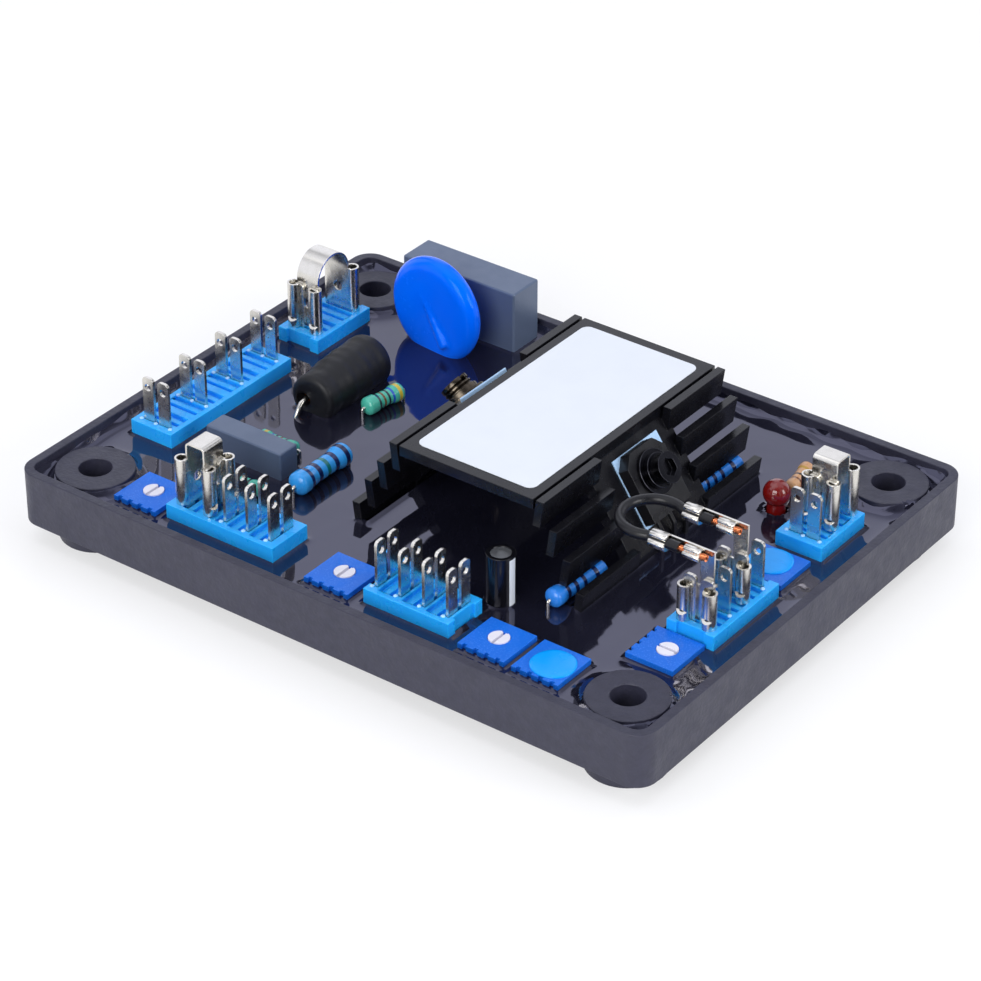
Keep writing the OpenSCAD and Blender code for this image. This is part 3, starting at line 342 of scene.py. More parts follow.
# Moulded case of a film capacitor: slate grey, satin
CASE = Finish("moulded_case_plastic", "#556177", "#4e5a6f", 0.36, "capacitor_case", ior=1.7, gleam="#cfe0ff",
              grain_mm=0.35, grain_depth_mm=0.015)
# Shrunk polyolefin sleeve: black, satin, lightly wrinkled
SHRINK = Finish("shrunk_polyolefin", "#121318", "#0c0d11", 0.48, "shrink_sleeve", ior=1.42, grain_mm=1.6,
                grain_depth_mm=0.06)
# Printed vinyl sleeve of a capacitor can: black and glossy
GLOSSY_SLEEVE = Finish("glossy_vinyl_sleeve", "#0a0a0e", "#0e0e13", 0.18, "shrink_sleeve", ior=1.45, grain_mm=1.4,
                       grain_depth_mm=0.02)
# Enamelled copper of a winding
ENAMEL = Finish("enamelled_copper", "#b0703c", "#9a5c2e", 0.3, "coil_copper", metallic=1.0)
# Tinned copper of component leads
LEAD = Finish("tinned_copper", "#d9d6cf", "#c6c2b8", 0.22, "tinned_brass", metallic=1.0, shade_mm=1.0)
# Aluminium of a capacitor can: bright, drawn
CAN = Finish("drawn_aluminium", "#d4d7da", "#c6c9ce", 0.36, "can_aluminium", metallic=1.0)
# Tinted clear epoxy of a lamp: dark red, glassy
LENS = Finish("tinted_epoxy", "#8a1612", "#6c0d0b", 0.08, "lamp_lens", coat=0.5, grain_mm=2, grain_depth_mm=0.005)
# Moulded epoxy of a power device: black, fine matte
DEVICE = Finish("moulded_epoxy", "#131317", "#0e0e11", 0.3, "device_epoxy", grain_mm=0.4, grain_depth_mm=0.01)
# Silicone-coated film: pale blue-white
FILM = Finish("silicone_film", "#a6cbf0", "#b6d6f5", 0.4, "insulating_film")
# Black oxide on steel: near black, oily sheen
OXIDE = Finish("black_oxide_steel", "#4a4a50", "#303036", 0.16, "black_steel", metallic=1.0, shade_mm=1.5)
# Nickel plate on steel, dulled by handling: a warm dark metal on the left screw
NICKEL = Finish("nickelled_steel", "#635b50", "#38332d", 0.2, "nickel_steel", metallic=1.0, shade_mm=1.5)
# Resistor lacquers: glossy enamel with painted bands
BLUE_BANDS = BandedFinish("blue_resistor_lacquer", "#35a0ee", "#2d96e4", 0.25, "resistor_blue", coat=0.2, bands=(
    (0.17, 0.23, "#11245c"), (0.33, 0.40, "#0e1f50"), (0.49, 0.55, "#0c6f72"), (0.64, 0.71, "#10235a"),
    (0.82, 0.89, "#0c1c4a"),
))
GREEN_BANDS = BandedFinish("green_resistor_lacquer", "#4cb8a2", "#45ae98", 0.25, "resistor_green", coat=0.2, bands=(
    (0.27, 0.33, "#20353a"), (0.41, 0.46, "#6b4a2a"), (0.53, 0.58, "#1c2e3a"), (0.64, 0.69, "#2458b8"),
    (0.79, 0.87, "#c8b23c"),
))
DEEP_BANDS = BandedFinish("deep_blue_resistor_lacquer", "#2b86e6", "#2478d8", 0.25, "resistor_blue", coat=0.2, bands=(
    (0.22, 0.28, "#0b1a48"), (0.37, 0.43, "#0b1a48"), (0.52, 0.58, "#0b1a48"), (0.74, 0.80, "#0b1a48"),
))
BEIGE_BANDS = BandedFinish("beige_resistor_lacquer", "#c39468", "#b98a5e", 0.3, "resistor_beige", coat=0.2, bands=(
    (0.26, 0.33, "#6a3a1e"), (0.44, 0.50, "#30201c"), (0.70, 0.76, "#a8842c"),
))


class Shading(Enum):
    """Angle from which an edge of a mesh counts as sharp."""

    CRISP = math.radians(28)
    PLATE = math.radians(40)
    SOFT = math.radians(50)
    STEEP = math.radians(80)


def link_object(name: str, mesh: bpy.types.Mesh) -> bpy.types.Object:
    """Puts a mesh into the scene as an object at the origin.

    Args:
        name: Name of the piece.
        mesh: Its mesh, with its place in it.

    Returns:
        The new object.
    """
    made = bpy.data.objects.new(name, mesh)
    bpy.context.scene.collection.objects.link(made)
    return made


def bake(piece: bpy.types.Object) -> bpy.types.Object:
    """Turns a piece with modifiers into a plain mesh.

    Args:
        piece: The piece.

    Returns:
        The same piece, without modifiers.
    """
    seen = piece.evaluated_get(bpy.context.evaluated_depsgraph_get())
    mesh = bpy.data.meshes.new_from_object(seen)
    piece.modifiers.clear()
    piece.data = mesh
    return piece


def plan_centre(low: Vector, high: Vector) -> tuple[float, float]:
    """Gives the middle of a box in plan."""
    return (low.x + high.x) / 2, (low.y + high.y) / 2


def circle(steps: int) -> list[float]:
    """Gives even angles round a circle."""
    return [2 * math.pi * k / steps for k in range(steps)]


def plain_mesh(name: str, shape: bmesh.types.BMesh) -> bpy.types.Mesh:
    """Writes a bmesh out as a mesh and frees it.

    Args:
        name: Name of the mesh.
        shape: The bmesh.

    Returns:
        The mesh.
    """
    mesh = bpy.data.meshes.new(name)
    shape.to_mesh(mesh)
    shape.free()
    return mesh


def skin(name: str, rings: Sequence[Sequence[Sequence[float]]]) -> bpy.types.Mesh:
    """Covers a row of rings of points with faces and closes both ends.

    Args:
        name: Name of the mesh.
        rings: Points of each ring in metres; a ring of one point is a pole.

    Returns:
        A closed mesh with its normals outward.
    """
    shape = bmesh.new()
    corners = [[shape.verts.new(spot) for spot in ring] for ring in rings]
    sides = max(len(ring) for ring in corners)
    for low, high in zip(corners, corners[1:]):
        for k in range(sides):
            n = (k + 1) % sides
            face = (low[k % len(low)], low[n % len(low)], high[n % len(high)], high[k % len(high)])
            shape.faces.new(list(dict.fromkeys(face)))
    for ring in (corners[0], corners[-1]):
        if len(ring) > 1:
            shape.faces.new(ring)
    bmesh.ops.recalc_face_normals(shape, faces=shape.faces)
    return plain_mesh(name, shape)


def slice_at(shape: bmesh.types.BMesh, spot: Vector, way: Vector) -> None:
    """Adds edges where a plane crosses a bmesh.

    Args:
        shape: The bmesh.
        spot: A point of the plane.
        way: Direction square to the plane.
    """
    everything = shape.verts[:] + shape.edges[:] + shape.faces[:]
    bmesh.ops.bisect_plane(shape, geom=everything, plane_co=spot, plane_no=way)


def round_edges(piece: bpy.types.Object, edge_mm: float, sharp: Shading, segments: int = 2) -> bpy.types.Object:
    """Rounds the sharp edges of a piece.

    Args:
        piece: The piece.
        edge_mm: Edge radius in millimetres.
        sharp: Which edges count as sharp.
        segments: Steps in each rounded edge.

    Returns:
        The same piece, a plain mesh.
    """
    bevel = piece.modifiers.new("edges", "BEVEL")
    bevel.width = edge_mm * MM
    bevel.segments = segments
    bevel.limit_method = "ANGLE"
    bevel.angle_limit = sharp.value
    bevel.harden_normals = True
    return bake(piece)


def settle(piece: bpy.types.Object, finish: Finish, body: str = ROOT, nodes: Sequence[str] = ()) -> bpy.types.Object:
    """Gives a finished piece its material, its body and the nodes that it stands for.

    Args:
        piece: The piece, a plain mesh.
        finish: Its main finish.
        body: Body that it rides on.
        nodes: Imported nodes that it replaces.

    Returns:
        The same piece.
    """
    if not piece.data.materials:
        piece.data.materials.append(finish.material())
    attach(piece, body)
    if nodes:
        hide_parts(*nodes)
    LOG.info("%s: %d faces", piece.name, len(piece.data.polygons))
    return piece


def merged(nodes: Sequence[str]) -> bmesh.types.BMesh:
    """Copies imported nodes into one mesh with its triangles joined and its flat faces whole.

    Args:
        nodes: Names of the nodes.

    Returns:
        A new bmesh.
    """
    copy = bmesh.new()
    for name in nodes:
        copy.from_mesh(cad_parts[name].data)
    bmesh.ops.remove_doubles(copy, verts=copy.verts, dist=2e-6)
    bmesh.ops.dissolve_limit(copy, angle_limit=math.radians(0.6), verts=copy.verts, edges=copy.edges)
    return copy


def islands(node: str) -> list[tuple[Vector, Vector]]:
    """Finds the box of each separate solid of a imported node.

    Args:
        node: Name of the node.

    Returns:
        Lowest and highest corners, sorted by X and then Y.
    """
    copy = merged([node])
    left = set(copy.verts)
    boxes = []
    while left:
        front, found = [left.pop()], []
        while front:
            spot = front.pop()
            found.append(spot.co.copy())
            for edge in spot.link_edges:
                other = edge.other_vert(spot)
                if other in left:
                    left.remove(other)
                    front.append(other)
        table = np.array(found)
        boxes.append((Vector(table.min(0)), Vector(table.max(0))))
    copy.free()
    return sorted(boxes, key=lambda pair: (round(pair[0].x, 4), round(pair[0].y, 4)))


def soft_copy(name: str, nodes: Sequence[str], finish: Finish, edge_mm: float, body: str = ROOT,
              segments: int = 2) -> bpy.types.Object:
    """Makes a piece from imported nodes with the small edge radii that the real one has.

    Args:
        name: Name of the piece.
        nodes: Nodes that it is made from and replaces.
        finish: Its finish.
        edge_mm: Edge radius in millimetres.
        body: Body that it rides on.
        segments: Steps in each rounded edge.

    Returns:
        The piece.
    """
    mesh = plain_mesh(name, merged(nodes))
    mesh.shade_smooth()
    mesh.set_sharp_from_angle(angle=Shading.CRISP.value)
    return settle(round_edges(link_object(name, mesh), edge_mm, Shading.CRISP, segments), finish, body, nodes)


def lathe(profile: Sequence[tuple[float, ...]], sides: int, along: bool = False) -> bpy.types.Mesh:
    """Turns an outline about Y.

    Args:
        profile: Radius, place along Y and, where a ring is off the axis, its X and Z, from pole to pole, in metres.
        sides: Steps round the axis.
        along: Whether to store each point's share of the length as the attribute "along".

    Returns:
        A closed mesh.
    """
    rings = []
    for radius, y, *shift in profile:
        dx, dz = shift or (0.0, 0.0)
        around = circle(sides if radius else 1)
        rings.append([(dx + radius * math.cos(t), y, dz + radius * math.sin(t)) for t in around])
    mesh = skin("lathe", rings)
    if along:
        first, last = profile[0][1], profile[-1][1]
        shares = mesh.attributes.new("along", "FLOAT", "POINT")
        shares.data.foreach_set("value", [(v.co.y - first) / (last - first) for v in mesh.vertices])
    mesh.shade_smooth()
    mesh.set_sharp_from_angle(angle=Shading.SOFT.value)
    return mesh


def tube(name: str, points: Sequence[Vector], radius: float, sides: int) -> bpy.types.Mesh:
    """Sweeps a round section along a route.

    Args:
        name: Name of the mesh.
        points: Points of the route, in metres.
        radius: Radius of the section.
        sides: Steps round it.

    Returns:
        A closed, smooth mesh.
    """
    rings, side = [], None
    for k, spot in enumerate(points):
        ahead = (points[min(k + 1, len(points) - 1)] - points[max(k - 1, 0)]).normalized()
        side = ahead.orthogonal() if side is None else side - side.dot(ahead) * ahead
        side.normalize()
        up = ahead.cross(side)
        rings.append([spot + radius * (side * math.cos(t) + up * math.sin(t)) for t in circle(sides)])
    mesh = skin(name, rings)
    mesh.shade_smooth()
    return mesh


def join(name: str, parts: Sequence[tuple[bpy.types.Mesh, Matrix, Finish]]) -> bpy.types.Object:
    """Joins placed meshes, each with its own finish, into one piece.

    Args:
        name: Name of the piece.
        parts: Mesh, place and finish of each part.

    Returns:
        The piece, with one material for each finish.
    """
    finishes = list(dict.fromkeys(part[2] for part in parts))
    whole = bmesh.new()
    whole.verts.layers.float.new("along")
    for mesh, place, finish in parts:
        mesh.transform(place)
        before = len(whole.faces)
        whole.from_mesh(mesh)
        whole.faces.ensure_lookup_table()
        for face in whole.faces[before:]:
            face.material_index = finishes.index(finish)
    mesh = plain_mesh(name, whole)
    for finish in finishes:
        mesh.materials.append(finish.material())
    mesh.set_sharp_from_angle(angle=Shading.SOFT.value)
    return link_object(name, mesh)


class Tree:
    """A Geometry Nodes tree with named inputs."""

    def __init__(self, name: str, inputs: dict[str, str]) -> None:
        """Makes the tree with its geometry sockets and named inputs.

        Args:
            name: Name of the tree.
            inputs: Input name to socket type.
        """
        self.group = bpy.data.node_groups.new(name, "GeometryNodeTree")
        face = self.group.interface
        face.new_socket("Geometry", in_out="INPUT", socket_type="NodeSocketGeometry")
        face.new_socket("Geometry", in_out="OUTPUT", socket_type="NodeSocketGeometry")
        self.keys = {label: face.new_socket(label, in_out="INPUT", socket_type=kind).identifier
                     for label, kind in inputs.items()}
        self.source = self.group.nodes.new("NodeGroupInput").outputs

    def add(self, kind: str, values: Optional[dict] = None, **settings: Any) -> bpy.types.Node:
        """Adds a node to the tree."""
        return add(self.group, kind, values, **settings)

    def close(self, instances: bpy.types.NodeSocket) -> None:
        """Ends the tree in real geometry with its material.

        Args:
            instances: Output that carries the instances.
        """
        real = self.add("GeometryNodeRealizeInstances", {"Geometry": instances})
        painted = self.add("GeometryNodeSetMaterial", {
            "Geometry": real.outputs["Geometry"], "Material": self.source["Material"],
        })
        add(self.group, "NodeGroupOutput", {"Geometry": painted.outputs["Geometry"]})

    def run(self, piece: bpy.types.Object, values: dict[str, Any]) -> bpy.types.Object:
        """Runs the tree on a piece and keeps the result as a plain mesh.

        Args:
            piece: Object whose mesh goes into the tree.
            values: Value of each named input.

        Returns:
            The same piece.
        """
        modifier = piece.modifiers.new(self.group.name, "NODES")
        modifier.node_group = self.group
        for label, value in values.items():
            modifier[self.keys[label]] = value
        return bake(piece)


def twin_tab_tree() -> Tree:
    """Builds the tree that stands a pair of push-on tabs on each point of a mesh.

    Returns:
        The tree.
    """
    length = "NodeSocketFloat"
    tree = Tree("twin_tabs", {
        "Width": length, "Height": length, "Thickness": length, "Spacing": length, "Tip Radius": length,
        "Hole Radius": length, "Hole Drop": length, "Turn": length, "Material": "NodeSocketMaterial",
    })
    source = tree.source
    plate = tree.add("GeometryNodeCurvePrimitiveQuadrilateral", {
        "Width": source["Width"], "Height": source["Height"],
    })
    tip = tree.add("GeometryNodeFilletCurve", {
        "Curve": plate.outputs["Curve"], "Radius": source["Tip Radius"], "Count": 5,
    }, mode="POLY")
    half = tree.add("ShaderNodeMath", {0: source["Height"], 1: 0.5}, operation="MULTIPLY")
    height = tree.add("ShaderNodeMath", {0: half.outputs[0], 1: source["Hole Drop"]}, operation="SUBTRACT")
    spot = tree.add("ShaderNodeCombineXYZ", {"Y": height.outputs[0]})
    ring = tree.add("GeometryNodeCurvePrimitiveCircle", {"Resolution": 20, "Radius": source["Hole Radius"]})
    hole = tree.add("GeometryNodeTransform", {"Geometry": ring.outputs["Curve"], "Translation": spot.outputs[0]})
    outline = tree.add("GeometryNodeJoinGeometry", {"Geometry": tip.outputs["Curve"]})
    tree.group.links.new(hole.outputs["Geometry"], outline.inputs["Geometry"])
    front = tree.add("GeometryNodeFillCurve", {"Curve": outline.outputs["Geometry"]})
    solid = tree.add("GeometryNodeExtrudeMesh", {"Mesh": front.outputs["Mesh"], "Offset Scale": source["Thickness"],
                                                 "Individual": False})
    back = tree.add("GeometryNodeFlipFaces", {"Mesh": front.outputs["Mesh"]})
    shell = tree.add("GeometryNodeJoinGeometry", {"Geometry": solid.outputs["Mesh"]})
    tree.group.links.new(back.outputs["Mesh"], shell.inputs["Geometry"])
    closed = tree.add("GeometryNodeMergeByDistance", {"Geometry": shell.outputs["Geometry"], "Distance": 1e-6})
    depth = tree.add("ShaderNodeMath", {0: source["Thickness"], 1: 0.5}, operation="MULTIPLY")
    step = tree.add("ShaderNodeMath", {0: source["Spacing"], 1: 0.5}, operation="MULTIPLY")
    pair = tree.add("GeometryNodeJoinGeometry")
    for sign in (-1.0, 1.0):
        across = tree.add("ShaderNodeMath", {0: step.outputs[0], 1: sign}, operation="MULTIPLY")
        seat = tree.add("ShaderNodeCombineXYZ", {"X": across.outputs[0], "Y": depth.outputs[0], "Z": half.outputs[0]})
        tab = tree.add("GeometryNodeTransform", {
            "Geometry": closed.outputs["Geometry"], "Translation": seat.outputs[0],
            "Rotation": (math.pi / 2, 0.0, 0.0),
        })
        tree.group.links.new(tab.outputs["Geometry"], pair.inputs["Geometry"])
    turn = tree.add("ShaderNodeCombineXYZ", {"Z": source["Turn"]})
    stood = tree.add("GeometryNodeInstanceOnPoints", {
        "Points": source["Geometry"], "Instance": pair.outputs["Geometry"], "Rotation": turn.outputs[0],
    })
    tree.close(stood.outputs["Instances"])
    return tree


def strand_tree() -> Tree:
    """Builds the tree that lays twisted strands along Z from each point of a mesh.

    Returns:
        The tree.
    """
    length = "NodeSocketFloat"
    tree = Tree("twisted_strands", {
        "Strands": "NodeSocketInt", "Lay Radius": length, "Strand Radius": length, "Length": length,
        "Turns": length, "Material": "NodeSocketMaterial",
    })
    source = tree.source
    coil = tree.add("GeometryNodeCurveSpiral", {
        "Resolution": 24, "Rotations": source["Turns"], "Start Radius": source["Lay Radius"],
        "End Radius": source["Lay Radius"], "Height": source["Length"],
    })
    section = tree.add("GeometryNodeCurvePrimitiveCircle", {"Resolution": 8, "Radius": source["Strand Radius"]})
    strand = tree.add("GeometryNodeCurveToMesh", {
        "Curve": coil.outputs["Curve"], "Profile Curve": section.outputs["Curve"], "Fill Caps": True,
    })
    row = tree.add("GeometryNodeMeshLine", {"Count": source["Strands"], "Offset": (0.0, 0.0, 0.0)})
    share = tree.add("ShaderNodeMath", {0: 2 * math.pi, 1: source["Strands"]}, operation="DIVIDE")
    turn = tree.add("ShaderNodeMath", {
        0: tree.add("GeometryNodeInputIndex").outputs["Index"], 1: share.outputs[0],
    }, operation="MULTIPLY")
    spin = tree.add("ShaderNodeCombineXYZ", {"Z": turn.outputs[0]})
    bundle = tree.add("GeometryNodeInstanceOnPoints", {
        "Points": row.outputs["Mesh"], "Instance": strand.outputs["Mesh"], "Rotation": spin.outputs[0],
    })
    tree.close(tree.add("GeometryNodeInstanceOnPoints", {
        "Points": source["Geometry"], "Instance": bundle.outputs["Instances"],
    }).outputs["Instances"])
    return tree


def sleeve_tree() -> Tree:
    """Builds the tree that draws a round sleeve over a route of edges.

    Returns:
        The tree.
    """
    tree = Tree("sleeve_on_route", {"Radius": "NodeSocketFloat", "Sides": "NodeSocketInt",
                                    "Material": "NodeSocketMaterial"})
    route = tree.add("GeometryNodeMeshToCurve", {"Mesh": tree.source["Geometry"]})
    section = tree.add("GeometryNodeCurvePrimitiveCircle", {"Resolution": tree.source["Sides"],
                                                            "Radius": tree.source["Radius"]})
    sleeve = tree.add("GeometryNodeCurveToMesh", {
        "Curve": route.outputs["Curve"], "Profile Curve": section.outputs["Curve"], "Fill Caps": True,
    })
    tree.close(sleeve.outputs["Mesh"])
    return tree


def bead_tree() -> Tree:
    """Builds the tree that sets a flattened bead on each point of a mesh.

    Returns:
        The tree.
    """
    tree = Tree("beads", {"Radius": "NodeSocketFloat", "Material": "NodeSocketMaterial"})
    ball = tree.add("GeometryNodeMeshUVSphere", {"Segments": 16, "Rings": 10, "Radius": tree.source["Radius"]})
    flat = tree.add("GeometryNodeTransform", {"Geometry": ball.outputs["Mesh"], "Scale": (1.0, 1.0, 0.7)})
    tree.close(tree.add("GeometryNodeInstanceOnPoints", {
        "Points": tree.source["Geometry"], "Instance": flat.outputs["Geometry"],
    }).outputs["Instances"])
    return tree


def points_object(name: str, points: Sequence[Sequence[float]], chained: bool = False) -> bpy.types.Object:
    """Makes an object of loose points, or of points chained by edges, for a tree to work on.

    Args:
        name: Name of the piece.
        points: Places in metres.
        chained: Whether an edge joins each point to the next.

    Returns:
        The object.
    """
    mesh = bpy.data.meshes.new(name)
    edges = [(k, k + 1) for k in range(len(points) - 1)] if chained else []
    mesh.from_pydata([tuple(p) for p in points], edges, [])
    return link_object(name, mesh)


@dataclass
class Studio:
    """White floor, soft light and the camera at the photograph's place."""

    target_mm: tuple[float, float, float] = (-5.744, 7.642, 4.0)
    azimuth: float = 36.73
    elevation: float = 32.64
    distance_mm: float = 661.3
    lens_mm: float = 134.7
    floor_m: float = 6.0
    panels: tuple[float, float] = (0.25, 1.3)
    panel_count: float = 7.0
    roof: float = 1.0
    opening: tuple[float, float, float] = (0.6, 0.9, 0.25)
    lamps: tuple[tuple[str, tuple[float, float, float], float, float], ...] = (
        ("key_softbox", (-0.25, -0.25, 1.15), 0.9, 1.5), ("front_softbox", (0.25, -1.15, 0.6), 0.8, 11.0),
        ("right_softbox", (1.15, 0.1, 0.5), 0.6, 6.0),
    )

    def build(self) -> None:
        """Builds the floor, the sky, the lamps and the camera."""
        self.lay_floor()
        self.light_sky()
        for lamp in self.lamps:
            self.hang_lamp(*lamp)
        self.set_camera()

    def lay_floor(self) -> None:
        """Lays a white floor under the feet."""
        half = self.floor_m / 2
        mesh = bpy.data.meshes.new("floor")
        mesh.from_pydata([(-half, -half, 0), (half, -half, 0), (half, half, 0), (-half, half, 0)], [], [(0, 1, 2, 3)])
        floor = link_object("floor", mesh)
        mesh.materials.append(PAPER.material())

    def light_sky(self) -> None:
        """Lights all round with a cool white tent of upright panels with gaps, open where the camera stands."""
        world = bpy.data.worlds.new("tent")
        bpy.context.scene.world = world
        world.use_nodes = True
        tree = world.node_tree
        tree.nodes.clear()
        way = add(tree, "ShaderNodeTexCoord").outputs["Generated"]
        axes = add(tree, "ShaderNodeSeparateXYZ", {0: way}).outputs
        round_about = add(tree, "ShaderNodeMath", {0: axes["Y"], 1: axes["X"]}, operation="ARCTAN2")
        # One panel stands straight behind the object as the camera sees it
        behind = math.radians(self.azimuth) + math.pi / 2
        phase = add(tree, "ShaderNodeMath", {0: round_about.outputs[0], 1: self.panel_count,
                                             2: -self.panel_count * behind}, operation="MULTIPLY_ADD")
        wave = add(tree, "ShaderNodeMath", {0: phase.outputs[0]}, operation="COSINE")
        panel = add(tree, "ShaderNodeMapRange", {
            "Value": wave.outputs[0], "From Min": -0.6, "From Max": -0.1,
            "To Min": self.panels[0], "To Max": self.panels[1],
        }, interpolation_type="SMOOTHSTEP")
        roof = add(tree, "ShaderNodeMapRange", {"Value": axes["Z"], "From Min": 0.62, "From Max": 0.85})
        tent = add(tree, "ShaderNodeMix", {0: roof.outputs["Result"], 2: panel.outputs["Result"], 3: self.roof})
        toward = add(tree, "ShaderNodeVectorMath", {0: way, 1: self.back()}, operation="DOT_PRODUCT")
        opening = add(tree, "ShaderNodeMapRange", {
            "Value": toward.outputs["Value"], "From Min": self.opening[0], "From Max": self.opening[1],
            "To Min": 1.0, "To Max": self.opening[2],
        })
        level = add(tree, "ShaderNodeMath", {0: tent.outputs[0], 1: opening.outputs["Result"]}, operation="MULTIPLY")
        glow = add(tree, "ShaderNodeBackground", {"Color": linear("#f0f3ff"), "Strength": level.outputs[0]})
        add(tree, "ShaderNodeOutputWorld", {"Surface": glow.outputs["Background"]})

    def back(self) -> Vector:
        """Gives the direction from the target to the camera."""
        turn, rise = math.radians(self.azimuth), math.radians(self.elevation)
        return Vector((math.sin(turn) * math.cos(rise), -math.cos(turn) * math.cos(rise), math.sin(rise)))

    def hang_lamp(self, name: str, spot: tuple[float, float, float], size: float, watts: float) -> None:
        """Hangs a square softbox that faces the object.

        Args:
            name: Name of the lamp.
            spot: Its place in metres.
            size: Its side in metres.
            watts: Its power.
        """
        lamp = bpy.data.lights.new(name, "AREA")
        lamp.size = size
        lamp.energy = watts
        made = bpy.data.objects.new(name, lamp)
        made.matrix_world = Matrix.Translation(spot) @ Vector(spot).to_track_quat("Z", "Y").to_matrix().to_4x4()
        bpy.context.scene.collection.objects.link(made)

    def set_camera(self) -> None:
        """Sets the camera at the photograph's place and lens."""
        back = self.back()
        lens = bpy.data.cameras.new("camera")
        lens.lens = self.lens_mm
        lens.sensor_width = 36.0
        lens.clip_start, lens.clip_end = 0.05, 20.0
        made = bpy.data.objects.new("camera", lens)
        spot = Vector(self.target_mm) * MM + back * self.distance_mm * MM
        made.matrix_world = Matrix.Translation(spot) @ back.to_track_quat("Z", "Y").to_matrix().to_4x4()
        bpy.context.scene.collection.objects.link(made)
        bpy.context.scene.camera = made


@dataclass
class Footprint:
    """Outline of a piece where the resin meets it."""

    centre: tuple[float, float]
    half: tuple[float, float]
    turn: float = 0.0
    corner: float = 0.0

    def distance(self, x: np.ndarray, y: np.ndarray) -> np.ndarray:
        """Measures the signed distance of points from the outline.

        Args:
            x: X of the points.
            y: Y of the points.

        Returns:
            Distances, negative inside.
        """
        cos, sin = math.cos(self.turn), math.sin(self.turn)
        dx, dy = x - self.centre[0], y - self.centre[1]
        across = np.abs(dx * cos + dy * sin) - self.half[0] + self.corner
        along = np.abs(dy * cos - dx * sin) - self.half[1] + self.corner
        outside = np.hypot(np.maximum(across, 0), np.maximum(along, 0))
        return outside + np.minimum(np.maximum(across, along), 0) - self.corner


